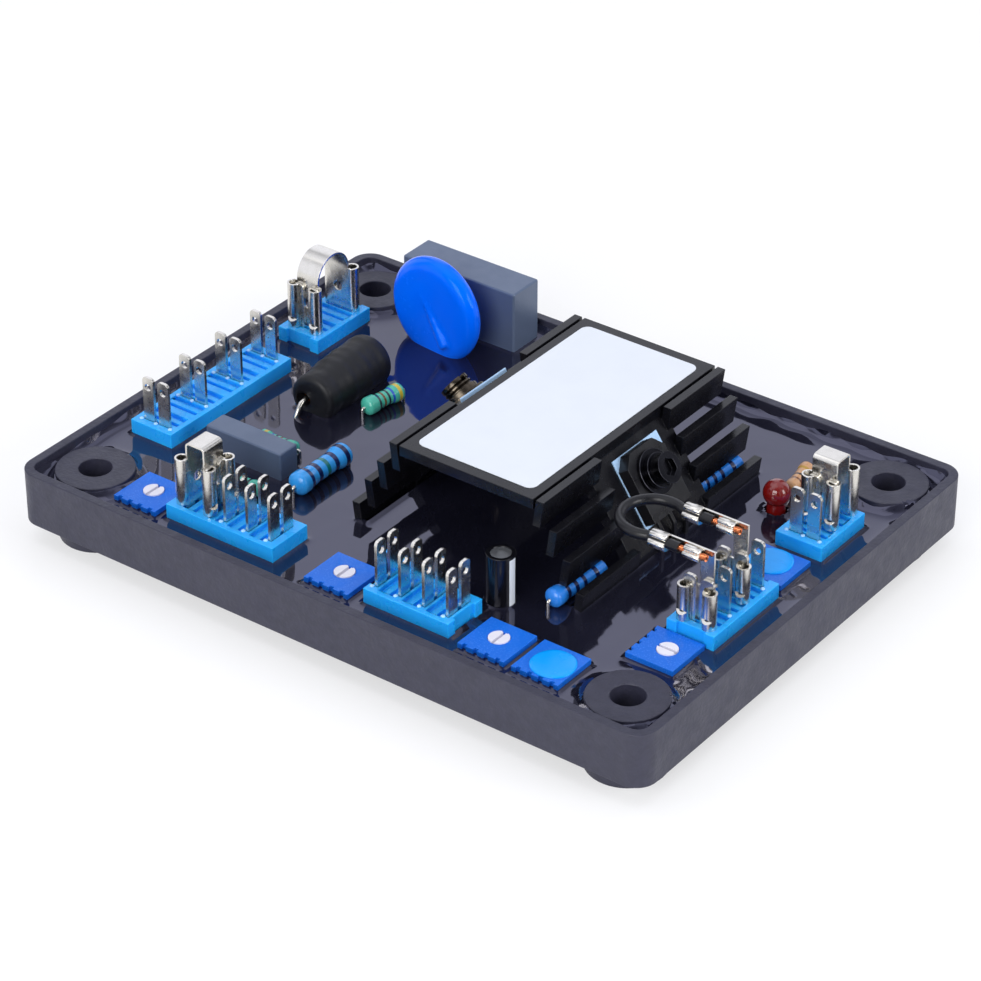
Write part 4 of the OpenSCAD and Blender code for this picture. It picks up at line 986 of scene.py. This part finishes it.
@dataclass
class Casting:
    """The tray, the board in it and the resin that wets everything standing in it."""

    cell_mm: float = 0.47
    climb_mm: float = 0.34
    reach_mm: float = 0.36
    wet_climb_mm: float = 1.45
    wet_reach_mm: float = 0.85
    wet_wave: float = 0.16
    waves: tuple[tuple[float, float, float], ...] = ((310, 170, 0.0), (-90, 530, 0.8), (790, 0, 1.9))
    bury_mm: float = 0.7
    round_mm: float = 2.5
    corner_mm: float = 2.2
    hole_mm: tuple[float, float] = (57.5, 40.0)
    boss_mm: float = 7.2
    lean_mm: float = 0.96
    leg_mm: float = 2.4
    # Half sizes and corner in millimetres, and turn in degrees, of the prints that lie at an angle
    turned: tuple[tuple[str, float, float, float, float], ...] = (
        ("choke_sleeve", 4.1, 9.1, 1.0, 2.4), ("varistor", 6.6, 1.3, 1.2, -6.0),
    )
    prints: list[Footprint] = field(default_factory=list)
    bosses: list[Footprint] = field(default_factory=list)

    def build(self) -> None:
        """Builds the tray, the board and the resin."""
        soft_copy("tray_moulding", ["tray"], TRAY, 0.35, segments=3)
        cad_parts["circuit_board"].data.materials.clear()
        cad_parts["circuit_board"].data.materials.append(BOARD.material())
        self.find_prints()
        self.pour()

    def find_prints(self) -> None:
        """Lists the outlines that the resin climbs."""
        for sx in (-1, 1):
            for sy in (-1, 1):
                radius = self.boss_mm * MM
                self.bosses.append(Footprint((sx * self.hole_mm[0] * MM, sy * self.hole_mm[1] * MM),
                                             (radius, radius), corner=radius))
        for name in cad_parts:
            if name.startswith(("terminal_block", "trimmer", "large_cap", "small_cap")):
                self.box_print(*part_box(name))
        for name in ("electrolytic_sleeve", "indicator_lamp"):
            self.round_print(plan_centre(*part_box(name)), self.round_mm * MM)
        low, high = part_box("heatsink")
        for outer, way in ((low.x, 1), (high.x, -1)):
            a = outer + way * self.lean_mm * MM
            b = a + way * self.leg_mm * MM
            self.box_print(Vector((min(a, b), low.y, 0)), Vector((max(a, b), high.y, 0)))
        for name, across, along, corner, turn in self.turned:
            self.prints.append(Footprint(plan_centre(*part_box(name)), (across * MM, along * MM), math.radians(turn),
                                         corner * MM))

    def box_print(self, low: Vector, high: Vector) -> None:
        """Adds the outline of a box."""
        self.prints.append(Footprint(plan_centre(low, high), ((high.x - low.x) / 2, (high.y - low.y) / 2)))

    def round_print(self, centre: tuple[float, float], radius: float) -> None:
        """Adds a round outline."""
        self.prints.append(Footprint(centre, (radius, radius), corner=radius))

    def pour(self) -> None:
        """Makes the resin: a level surface that curls up at every wall and piece."""
        low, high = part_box("potting_resin")
        count = [int((high[a] - low[a]) / (self.cell_mm * MM)) for a in (0, 1)]
        x, y = np.meshgrid(np.linspace(low.x, high.x, count[0] + 1), np.linspace(low.y, high.y, count[1] + 1),
                           indexing="ij")
        wall = -Footprint(plan_centre(low, high), ((high.x - low.x) / 2, (high.y - low.y) / 2),
                          corner=self.corner_mm * MM).distance(x, y)
        wet = np.minimum.reduce([wall] + [outline.distance(x, y) for outline in self.bosses])
        near = np.minimum.reduce([outline.distance(x, y) for outline in self.prints])
        # The pour wets the tray's own walls and bosses well up, in slow waves, and other pieces only a little
        wave = 1 + self.wet_wave * sum(np.sin(a * x + b * y + start) for a, b, start in self.waves)
        rise = np.maximum(self.climb_mm * np.exp(-np.maximum(near, 0) / (self.reach_mm * MM)),
                          self.wet_climb_mm * wave * np.exp(-np.maximum(wet, 0) / (self.wet_reach_mm * MM)))
        z = high.z + rise * MM
        kept = np.minimum(near, wet) > -self.bury_mm * MM
        cells = kept[:-1, :-1] & kept[1:, :-1] & kept[1:, 1:] & kept[:-1, 1:]
        self.close_shell(x, y, z, cells, low.z)

    def close_shell(self, x: np.ndarray, y: np.ndarray, z: np.ndarray, cells: np.ndarray, base: float) -> None:
        """Turns the height field into a closed solid.

        Args:
            x: X of the grid's points.
            y: Y of the grid's points.
            z: Height of the grid's points.
            cells: Which cells hold resin.
            base: Height of the underside.
        """
        rows, columns = x.shape
        number = np.arange(rows * columns).reshape(rows, columns)
        quads = np.stack([number[:-1, :-1], number[1:, :-1], number[1:, 1:], number[:-1, 1:]], -1)[cells]
        spots = np.stack([x, y, z], -1).reshape(-1, 3).tolist()
        shell = bmesh.new()
        used = np.unique(quads).tolist()
        top = {k: shell.verts.new(spots[k]) for k in used}
        under = {k: shell.verts.new((*spots[k][:2], base)) for k in used}
        for quad in quads.tolist():
            shell.faces.new([top[k] for k in quad])
            shell.faces.new([under[k] for k in reversed(quad)])
        sides = {tuple(pair) for k in range(4) for pair in quads[:, [k, (k + 1) % 4]].tolist()}
        for a, b in sorted(sides):
            if (b, a) not in sides:
                shell.faces.new((top[b], top[a], under[a], under[b]))
        mesh = plain_mesh("potting_resin_cast", shell)
        mesh.shade_smooth()
        mesh.set_sharp_from_angle(angle=Shading.STEEP.value)
        settle(link_object("potting_resin_cast", mesh), RESIN, nodes=["potting_resin"])


@dataclass
class HeatsinkGroup:
    """The finned arch, its bare label, and the devices screwed to its legs."""

    edge_mm: float = 0.3
    film_shift_mm: float = 1.0
    film_drop_mm: float = 1.1
    flap_mm: float = 1.0
    curl_mm: tuple[float, float] = (2.1, 0.4)
    grooves_mm: tuple[float, ...] = (1.85, 2.6)
    groove_mm: float = 0.24

    def build(self) -> None:
        """Builds the heatsink and what is on it."""
        soft_copy("heatsink_extrusion", ["heatsink"], ANODISED, self.edge_mm, segments=3)
        soft_copy("blank_label", ["label"], LABEL, 0.05)
        soft_copy("right_device", ["power_device_right"], DEVICE, 0.35)
        soft_copy("left_device", ["power_device_left"], DEVICE, 0.35)
        self.lay_films()
        soft_copy("right_screw", ["socket_screw"], OXIDE, 0.25)
        self.turn_grooves(soft_copy("left_screw", ["slotted_screw"], NICKEL, 0.3).data)
        for piece in (soft_copy("plain_washers", ["flat_washers"], OXIDE, 0.12),
                      soft_copy("split_washers", ["spring_washers"], OXIDE, 0.12)):
            self.plate_left(piece)

    def left_leg(self) -> tuple[Vector, Vector]:
        """Finds how the left leg slopes.

        Returns:
            Unit vectors up the leg and out of it.
        """
        low, high = islands("insulating_sheets")[0]
        up = Vector((high.x - low.x, 0, high.z - low.z)).normalized()
        return up, Vector((-up.z, 0, up.x))

    def lay_films(self) -> None:
        """Lays the insulating pads as they were fitted.

        The right one sits a little low and to the rear, and the left one's top is curled out.
        """
        left, right = islands("insulating_sheets")
        up, out = self.left_leg()
        pads = soft_copy("film_pads", ["insulating_sheets"], FILM, 0.05).data
        cut = bmesh.new()
        cut.from_mesh(pads)
        # The left pad's top flap is cut free, then turned out
        fold = Vector((left[1].x, 0, left[1].z)) - up * self.flap_mm * MM
        slice_at(cut, fold, up)
        for spot in cut.verts:
            box, way = (left, -1) if spot.co.x < left[1].x + MM else (right, 1)
            if way < 0 and (spot.co - fold).dot(up) > 0.1 * MM:
                spot.co += (out * self.curl_mm[0] + up * self.curl_mm[1]) * MM
            elif way > 0 and right[1].z - spot.co.z < MM:
                spot.co -= Vector((-up.x, 0, up.z)) * self.film_drop_mm * MM
            if min(spot.co.y - box[0].y, box[1].y - spot.co.y) < MM:
                spot.co.y += way * self.film_shift_mm * MM
        cut.to_mesh(pads)
        cut.free()

    def turn_grooves(self, screw: bpy.types.Mesh) -> None:
        """Turns ring grooves into the left screw's head.

        Args:
            screw: Mesh of the screw.
        """
        low, high = islands("flat_washers")[0]
        centre, out = (low + high) / 2, self.left_leg()[1]
        cut = bmesh.new()
        cut.from_mesh(screw)
        for rise in self.grooves_mm:
            for step in (-1, 0, 1):
                slice_at(cut, centre + out * (rise + step * self.groove_mm) * MM, out)
        for spot in cut.verts:
            rise = (spot.co - centre).dot(out)
            axis = centre + out * rise
            if min(abs(rise / MM - groove) for groove in self.grooves_mm) < 0.02 and (spot.co - axis).length > 2 * MM:
                spot.co -= (spot.co - axis).normalized() * self.groove_mm * MM
        cut.to_mesh(screw)
        cut.free()
        # The bevel's own normals no longer fit the grooved side
        screw.attributes.remove(screw.attributes["custom_normal"])
        screw.set_sharp_from_angle(angle=Shading.CRISP.value)

    def plate_left(self, piece: bpy.types.Object) -> None:
        """Gives the left stack's washers the left screw's plating.

        Args:
            piece: Washers of both sides.
        """
        low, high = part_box("label")
        piece.data.materials.append(NICKEL.material())
        for face in piece.data.polygons:
            face.material_index = int(face.center.x < (low.x + high.x) / 2)


@dataclass
class TerminalRows:
    """Blue blocks, their twin tabs and the links pushed over some of them."""

    sides: tuple[str, ...] = ("front_left", "left", "rear_left", "front_middle", "right", "rear_right")
    tab_mm: float = 2.5
    spacing_mm: float = 3.5
    thickness_mm: float = 0.6
    tip_mm: float = 0.8
    hole_mm: float = 0.7
    drop_mm: float = 2.0
    edge_mm: float = 0.09
    bead_mm: float = 0.42
    bead_out_mm: tuple[float, ...] = (-3.35, 0.0, 3.35)
    bead_side_mm: float = -0.62

    def build(self) -> None:
        """Builds every block, its tabs and the links."""
        tree = twin_tab_tree()
        self.set_glint_beads()
        for side in self.sides:
            soft_copy(f"block_{side}", [f"terminal_block_{side}"], BLOCK, 0.22)
            self.stand_tabs(tree, side)
        for name in ("link_front_left", "link_rear_left", "link_rear_right"):
            soft_copy(f"bridge_{name[5:]}", [name], TIN, self.edge_mm)

    def set_glint_beads(self) -> None:
        """Sets small glossy beads at the feet of every twin tab, their pale colour a painted highlight."""
        spots = []
        covers = [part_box(name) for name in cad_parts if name.startswith(("link", "wire_terminal"))]
        for side in self.sides:
            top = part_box(f"terminal_block_{side}")[1].z
            for low, high in islands(f"tabs_{side}"):
                x, y = plan_centre(low, high)
                for out in self.bead_out_mm:
                    dx, dy = self.bead_side_mm * MM, out * MM
                    if high.x - low.x >= high.y - low.y:
                        dx, dy = dy, dx
                    spot = (x + dx, y + dy, top)
                    if not any(all(a[k] < spot[k] < b[k] for k in (0, 1)) for a, b in covers):
                        spots.append(spot)
        piece = points_object("glint_beads", spots)
        # The beads are real glossy bumps; their pale colour is a painted highlight
        bead_tree().run(piece, {"Radius": self.bead_mm * MM, "Material": GLINT_BEAD.material()})
        piece.data.shade_smooth()
        settle(piece, GLINT_BEAD)

    def stand_tabs(self, tree: Tree, side: str) -> None:
        """Stands the tabs of one block where its packed ones are.

        Args:
            tree: Tree that makes twin tabs.
            side: Name of the block's place.
        """
        node = f"tabs_{side}"
        boxes = islands(node)
        along_x = (boxes[0][1].x - boxes[0][0].x) < (boxes[0][1].y - boxes[0][0].y)
        spots = [(*plan_centre(a, b), a.z) for a, b in boxes]
        piece = points_object(f"twin_{node}", spots)
        tree.run(piece, {
            "Width": self.tab_mm * MM, "Height": boxes[0][1].z - boxes[0][0].z, "Thickness": self.thickness_mm * MM,
            "Spacing": self.spacing_mm * MM, "Tip Radius": self.tip_mm * MM, "Hole Radius": self.hole_mm * MM,
            "Hole Drop": self.drop_mm * MM, "Turn": math.pi / 2 if along_x else 0.0, "Material": TIN.material(),
        })
        settle(round_edges(piece, self.edge_mm, Shading.PLATE), TIN, nodes=[node])


@dataclass
class WireLink:
    """The insulated loop between two crimped terminals."""

    wire_mm: float = 0.95
    strands: int = 9
    strand_mm: float = 0.2
    lay_mm: float = 0.42
    jacket_crimp_mm: tuple[float, float] = (3.2, 1.65)
    core_crimp_mm: tuple[float, float] = (3.2, 1.2)
    crease: float = 0.55
    crease_turn: float = 2.7
    splay_mm: float = 3.0
    loop_mm: float = 5.6
    show_mm: float = 2.4
    edge_mm: float = 0.09
    turns: float = 1.2
    tail_mm: float = 1.1
    crimp_edge_mm: float = 0.12
    crimp_flat: float = 0.92
    crease_width: float = 0.28
    draw_mm: float = 1.45
    draw_share: float = 0.6

    def build(self) -> None:
        """Builds the terminals, the strands, the crimps and the wire."""
        ends = sorted(islands("wire_strands"), key=lambda pair: pair[0].y)
        for name, (low, high) in zip(("front", "rear"), ends):
            piece = soft_copy(f"flag_terminal_{name}", [f"wire_terminal_{name}"], TIN, self.edge_mm)
            self.draw_in(piece.data, (low + high) / 2)
        self.lay_strands(ends)
        self.press_crimps(ends)
        self.draw_wire(ends)

    def draw_in(self, terminal: bpy.types.Mesh, axis: Vector) -> None:
        """Draws the near side of a terminal's plain crimps in under the wire, so that the folded barrels show.

        Args:
            terminal: Mesh of the terminal.
            axis: A point on the wire's axis, which runs along X.
        """
        for spot in terminal.vertices:
            y, z = spot.co.y - axis.y, spot.co.z - axis.z
            if y < 0 and math.hypot(y, z) < self.draw_mm * MM:
                spot.co.y, spot.co.z = axis.y + y * self.draw_share, axis.z + z * self.draw_share

    def lay_strands(self, ends: list[tuple[Vector, Vector]]) -> None:
        """Lays the twisted strands of both ends.

        Args:
            ends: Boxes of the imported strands.
        """
        low, high = ends[0]
        reach = high.x - low.x
        piece = points_object("twisted_strands", [((a.z + b.z) / 2, (a.y + b.y) / 2, -b.x) for a, b in ends])
        strand_tree().run(piece, {
            "Strands": self.strands, "Lay Radius": self.lay_mm * MM, "Strand Radius": self.strand_mm * MM,
            "Length": reach, "Turns": self.turns, "Material": COPPER.material(),
        })
        # The tree lays strands along Z; this turns them to lie along X
        piece.data.transform(Matrix(((0, 0, -1, 0), (0, 1, 0, 0), (1, 0, 0, 0), (0, 0, 0, 1))))
        piece.data.shade_smooth()
        settle(piece, COPPER, nodes=["wire_strands"])

    def press_crimps(self, ends: list[tuple[Vector, Vector]]) -> None:
        """Presses a folded barrel round the strands and round the insulation at each end.

        Args:
            ends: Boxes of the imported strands.
        """
        parts = []
        for low, high in ends:
            y, z = (low.y + high.y) / 2, (low.z + high.z) / 2
            starts = (high.x - self.tail_mm * MM, low.x - self.show_mm * MM)
            for first, (length, radius) in zip(starts, (self.core_crimp_mm, self.jacket_crimp_mm)):
                parts.append((self.barrel(length * MM, radius * MM), Matrix.Translation((first, y, z)), TIN))
        settle(join("crimp_barrels", parts), TIN)

    def barrel(self, length: float, radius: float) -> bpy.types.Mesh:
        """Makes a crimp barrel along -X whose two wings meet in a crease at the front.

        Args:
            length: Length of the barrel.
            radius: Its outer radius.

        Returns:
            A closed mesh.
        """
        soft = self.crimp_edge_mm * MM
        rings = []
        for x, shrink in ((0, soft), (-soft, 0), (-length + soft, 0), (-length, soft)):
            ring = []
            for t in circle(40):
                fold = math.exp(-(math.remainder(t - self.crease_turn, 2 * math.pi) / self.crease_width) ** 2)
                r = (radius - shrink) * (1 - self.crease * fold)
                ring.append((x, r * math.cos(t) * self.crimp_flat, r * math.sin(t)))
            rings.append(ring)
        mesh = skin("crimp_barrel", rings)
        mesh.shade_smooth()
        return mesh

    def draw_wire(self, ends: list[tuple[Vector, Vector]]) -> None:
        """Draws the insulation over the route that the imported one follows.

        Args:
            ends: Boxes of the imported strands.
        """
        low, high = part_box("wire_insulation")
        z = (low.z + high.z) / 2
        ys = [(a.y + b.y) / 2 for a, b in ends]
        middle, half = sum(ys) / 2, (ys[1] - ys[0]) / 2
        loop, splay = self.loop_mm * MM, self.splay_mm * MM
        shift = math.sqrt((loop + splay) ** 2 - (half + splay) ** 2)
        bend = math.atan2(shift, half + splay)
        top = low.x + self.wire_mm * MM + loop
        route = [(high.x, ys[0], z)]
        for k in range(9):
            t = bend * k / 8
            route.append((top + shift - splay * math.sin(t), ys[0] - splay * (1 - math.cos(t)), z))
        for k in range(1, 48):
            t = math.pi + bend - (math.pi + 2 * bend) * k / 48
            route.append((top - loop * math.sin(t), middle + loop * math.cos(t), z))
        for k in range(9):
            t = bend * (8 - k) / 8
            route.append((top + shift - splay * math.sin(t), ys[1] + splay * (1 - math.cos(t)), z))
        route.append((high.x, ys[1], z))
        piece = points_object("wire_loop", route, chained=True)
        sleeve_tree().run(piece, {"Radius": self.wire_mm * MM, "Sides": 20, "Material": VINYL.material()})
        piece.data.shade_smooth()
        piece.data.set_sharp_from_angle(angle=Shading.SOFT.value)
        settle(piece, VINYL, nodes=["wire_insulation"])


@dataclass
class TrimmerGroup:
    """Six square trimmers, four free rotors and two that are sealed."""

    free: tuple[int, ...] = (1, 2, 3, 5)
    dot_profile: tuple[tuple[float, float], ...] = (
        (1.0, 0.0), (0.995, 0.45), (0.97, 0.8), (0.93, 0.95), (0.8, 1.0), (0.4, 1.0),
    )

    def build(self) -> None:
        """Builds bodies, rotors and sealing dots."""
        for number in range(1, 7):
            soft_copy(f"trimmer_body_{number}", [f"trimmer_{number}"], TRIMMER, 0.12)
        for number in self.free:
            soft_copy(f"rotor_knob_{number}", [f"rotor_{number}"], ROTOR, 0.1, body=f"rotor_{number}_body")
        soft_copy("sealed_rotor_knobs", ["sealed_rotors"], ROTOR, 0.1)
        self.brush_dots()

    def brush_dots(self) -> None:
        """Brushes a level dot of lacquer, not quite round, on each sealed trimmer."""
        parts = []
        for index, (low, high) in enumerate(islands("sealing_dots")):
            radius, height = (high.x - low.x) / 2, high.z - low.z
            edge = [(t, radius * (1 - 0.012 * math.sin(3 * t + index) - 0.008 * math.sin(5 * t))) for t in circle(64)]
            mesh = skin("dot", [[(share * r * math.cos(t), share * r * math.sin(t), rise * height) for t, r in edge]
                                for share, rise in self.dot_profile])
            mesh.shade_smooth()
            parts.append((mesh, Matrix.Translation((*plan_centre(low, high), low.z)), LACQUER))
        settle(join("lacquer_dots", parts), LACQUER, nodes=["sealing_dots"])


@dataclass
class Resistor:
    """An axial resistor: a bone-shaped lacquered body on two bent leads."""

    finish: BandedFinish
    centre: tuple[float, float]
    turn: float
    length_mm: float
    width_mm: float
    lead_mm: float = 0.32
    out_mm: float = 0.5
    bend_mm: float = 0.42

    def parts(self, floor: float, seat: float) -> list[tuple[bpy.types.Mesh, Matrix, Finish]]:
        """Makes the body and the leads.

        Args:
            floor: Height of the board's top.
            seat: Height of the resin's top.

        Returns:
            Placed meshes with their finishes.
        """
        radius, half = self.width_mm / 2 * MM, self.length_mm / 2 * MM
        place = Matrix.Translation((*self.centre, seat + radius)) @ Matrix.Rotation(self.turn, 4, "Z")
        return [(self.body(radius, half), place, self.finish)] + [
            (self.lead(side, half, floor - seat - radius), place, LEAD) for side in (-1, 1)
        ]

    def body(self, radius: float, half: float) -> bpy.types.Mesh:
        """Turns the bone-shaped body, with a swelling at each end.

        Args:
            radius: Largest radius.
            half: Half of the length.

        Returns:
            The mesh, with its length as an attribute.
        """
        steps = 56
        profile = [(0.0, -half)]
        for k in range(1, steps):
            y = -math.cos(math.pi * k / steps) * half
            end = half - abs(y)
            cap = 1.35 * radius
            swell = 0.84 + 0.16 * math.exp(-((end - 0.62 * cap) / (0.62 * cap)) ** 4)
            tip = math.sqrt(max(0.0, 1 - max(0.0, 1 - end / (0.55 * radius)) ** 2))
            profile.append((radius * swell * tip, y))
        profile.append((0.0, half))
        return lathe(profile, 40, along=True)

    def lead(self, side: int, half: float, drop: float) -> bpy.types.Mesh:
        """Bends one lead from the body's end down to the board.

        Args:
            side: -1 or 1, the end that it leaves.
            half: Half of the body's length.
            drop: Height of the board's top from the axis.

        Returns:
            The mesh.
        """
        reach, bend = half + self.out_mm * MM, self.bend_mm * MM
        route = [Vector((0, side * (half - 0.4 * MM), 0))]
        for k in range(7):
            t = math.pi / 2 * k / 6
            route.append(Vector((0, side * (reach - bend + bend * math.sin(t)), -bend * (1 - math.cos(t)))))
        route.append(Vector((0, side * reach, drop)))
        return tube("lead", route, self.lead_mm * MM, 10)


@dataclass
class Components:
    """The leaded parts that stand in the resin."""

    middle_turn: float = -9.0
    fin_turn: float = -6.0
    beige_turn: float = 10.0
    overhang_mm: float = 1.55
    wire_mm: float = 0.7
    ball_mm: float = 2.5
    neck_mm: float = 1.7
    coat_mm: float = 0.26
    coat_steps: int = 30
    choke_turn: float = 2.4
    sleeve_mm: tuple[float, float, float] = (18.6, 4.6, 5.1)
    lip_mm: float = 1.1
    mouth_mm: tuple[float, float, float] = (1.25, -2.0, -0.8)
    coil_mm: tuple[float, float] = (14.0, 3.9)
    lead_mm: float = 0.5
    stripe: tuple[float, float] = (-0.35, 0.22)

    def build(self) -> None:
        """Builds every leaded part."""
        self.dip_varistor()
        soft_copy("large_film_capacitor", ["large_capacitor"], CASE, 0.4, segments=3)
        soft_copy("small_film_capacitor", ["small_capacitor"], CASE, 0.35, segments=3)
        self.shrink_choke()
        self.place_resistors()
        soft_copy("can", ["electrolytic_can"], CAN, 0.25)
        soft_copy("can_sleeve", ["electrolytic_sleeve"], GLOSSY_SLEEVE, 0.3)
        self.print_stripe()
        self.cast_lamp()

    def print_stripe(self) -> None:
        """Prints a plain pale stripe down the can's sleeve."""
        low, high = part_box("electrolytic_sleeve")
        radius = (high.x - low.x) / 2
        inner, outer, top = radius - 0.05 * MM, radius + 0.02 * MM, high.z - 0.4 * MM
        columns = []
        for k in range(13):
            t = self.stripe[0] + (self.stripe[1] - self.stripe[0]) * k / 12
            columns.append([(r * math.cos(t), r * math.sin(t), z)
                            for r, z in ((inner, low.z), (outer, low.z), (outer, top), (inner, top))])
        mesh = skin("sleeve_stripe", columns)
        mesh.transform(Matrix.Translation((*plan_centre(low, high), 0)))
        settle(link_object("sleeve_stripe", mesh), LABEL)

    def cast_lamp(self) -> None:
        """Turns the lamp: a ball of tinted epoxy on a short neck."""
        low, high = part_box("indicator_lamp")
        ball, neck, rise = self.ball_mm * MM, self.neck_mm * MM, high.z - low.z
        profile = [(0.0, 0.0), (neck, 0.0), (neck, rise - 1.86 * ball)]
        profile += [(ball * math.sin(t), rise - ball - ball * math.cos(t))
                    for t in (math.pi * (0.24 + 0.76 * k / 24) for k in range(24))]
        mesh = lathe(profile + [(0.0, rise)], 48)
        mesh.transform(Matrix.Translation((*plan_centre(low, high), low.z))
                       @ Matrix.Rotation(math.pi / 2, 4, "X"))
        settle(link_object("lamp_lens_ball", mesh), LENS, nodes=["indicator_lamp"])

    def dip_varistor(self) -> None:
        """Rounds the disc and its ridges into one dipped coat."""
        piece = link_object("dipped_varistor", plain_mesh("dipped_varistor", merged(["varistor"])))
        coat = piece.modifiers.new("coat", "REMESH")
        coat.mode = "VOXEL"
        coat.voxel_size = self.coat_mm * MM
        level = piece.modifiers.new("level", "SMOOTH")
        level.factor, level.iterations = 0.5, self.coat_steps
        bake(piece)
        piece.data.shade_smooth()
        settle(piece, DIPPED, nodes=["varistor"])

    def shrink_choke(self) -> None:
        """Shrinks a sleeve over the coil, with a small mouth for the lead at its near end."""
        low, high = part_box("choke_sleeve")
        centre = Vector((low.x + high.x, low.y + high.y, low.z + high.z)) / 2
        place = Matrix.Translation(centre) @ Matrix.Rotation(math.radians(self.choke_turn), 4, "Z")
        length, neck, wide = (size * MM for size in self.sleeve_mm)
        half, lip = length / 2, self.lip_mm * MM
        outer = []
        for k in range(61):
            share = k / 60
            end = min(share, 1 - share) * length
            swell = neck + (wide - neck) / (1 + math.exp(-(share - 0.32) * 22))
            wave = 0.05 * MM * math.sin(share * 23) + 0.03 * MM * math.sin(share * 51 + 1)
            tuck = lip * (1 - math.sqrt(max(0.0, 1 - max(0.0, 1 - end / lip) ** 2)))
            outer.append((swell + wave - tuck, -half + share * length))
        mouth, dx, dz = (size * MM for size in self.mouth_mm)
        bore = [(mouth * 0.9, -half + 4 * MM, dx, dz), (mouth, -half + 0.9 * MM, dx, dz),
                (mouth + 0.25 * MM, -half + 0.45 * MM, dx, dz),
                ((mouth + neck - lip) / 2, -half + 0.12 * MM, dx / 2, dz / 2)]
        mesh = lathe([(0.0, -half + 4 * MM, dx, dz)] + bore + outer + [(0.0, half)], 64)
        mesh.transform(place)
        settle(link_object("shrunk_sleeve", mesh), SHRINK, nodes=["choke_sleeve"])
        self.wind_choke(place, half, Vector((dx, 0, dz)))

    def wind_choke(self, place: Matrix, half: float, mouth: Vector) -> None:
        """Winds the coil and bends its two leads.

        Args:
            place: Place of the choke's middle.
            half: Half of the sleeve's length.
            mouth: Where the near lead leaves the sleeve, from the axis.
        """
        length, radius = (size * MM for size in self.coil_mm)
        turns = [(radius - 0.25 * MM * (0.5 + 0.5 * math.cos(2 * math.pi * k / 4)), length * (k / 48 - 0.5))
                 for k in range(49)]
        coil = lathe([(0.0, -length / 2)] + turns + [(0.0, length / 2)], 32)
        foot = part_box("potting_resin")[0].z - place.translation.z
        out = half + 1.0 * MM
        near = [mouth + Vector(v) * MM for v in ((0.3, -half / MM + 3, 0.4), (0.2, -half / MM + 0.6, 0.25),
                                                 (0.1, -half / MM - 0.5, -0.3), (0.1, -half / MM - 1.4, -1.2),
                                                 (0.1, -half / MM - 2.3, -2.4), (0.1, -half / MM - 2.6, -4.2))]
        far = [Vector((0, length / 2 - 1 * MM, 0)), Vector((0, out - 0.6 * MM, 0)),
               Vector((0, out - 0.15 * MM, -0.2 * MM)), Vector((0, out, -0.7 * MM)), Vector((0, out, foot))]
        parts = [(coil, place, ENAMEL)]
        for route in (near, far):
            parts.append((tube("choke_lead", route, self.lead_mm * MM, 14), place, LEAD))
        settle(join("choke_winding", parts), ENAMEL, nodes=["choke_coil"])

    def place_resistors(self) -> None:
        """Makes each resistor where its packed one lies."""
        floor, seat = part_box("potting_resin")[0].z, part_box("potting_resin")[1].z
        kinds = (
            ("power_resistor", BLUE_BANDS, 0.0), ("green_resistor", GREEN_BANDS, self.middle_turn),
            ("small_green_resistors", GREEN_BANDS, 90.0), ("fin_resistors", DEEP_BANDS, self.fin_turn),
            ("front_resistor", BLUE_BANDS, 90.0), ("beige_resistor", BEIGE_BANDS, self.beige_turn),
        )
        for node, finish, turn in kinds:
            parts = []
            tilt = math.cos(math.radians(turn))
            for low, high in islands(node):
                span = high.x - low.x if turn == 90.0 else (high.y - low.y - self.wire_mm * MM * (1 - tilt)) / tilt
                made = Resistor(finish, plan_centre(low, high), math.radians(turn),
                                (span - 2 * self.overhang_mm * MM) / MM, (high.z - seat) / MM)
                parts += made.parts(floor, seat)
            settle(join(f"dressed_{node}", parts), finish, nodes=[node])


def main() -> None:
    """Builds the scene, one sub-assembly after another."""
    logging.basicConfig(level=logging.INFO, format="%(message)s")
    bpy.context.scene.view_settings.view_transform = "Standard"
    for group in (Studio(), Casting(), HeatsinkGroup(), TerminalRows(), WireLink(), TrimmerGroup(), Components()):
        group.build()
        LOG.info("%s done", type(group).__name__)


if __name__ == "__main__":
    main()
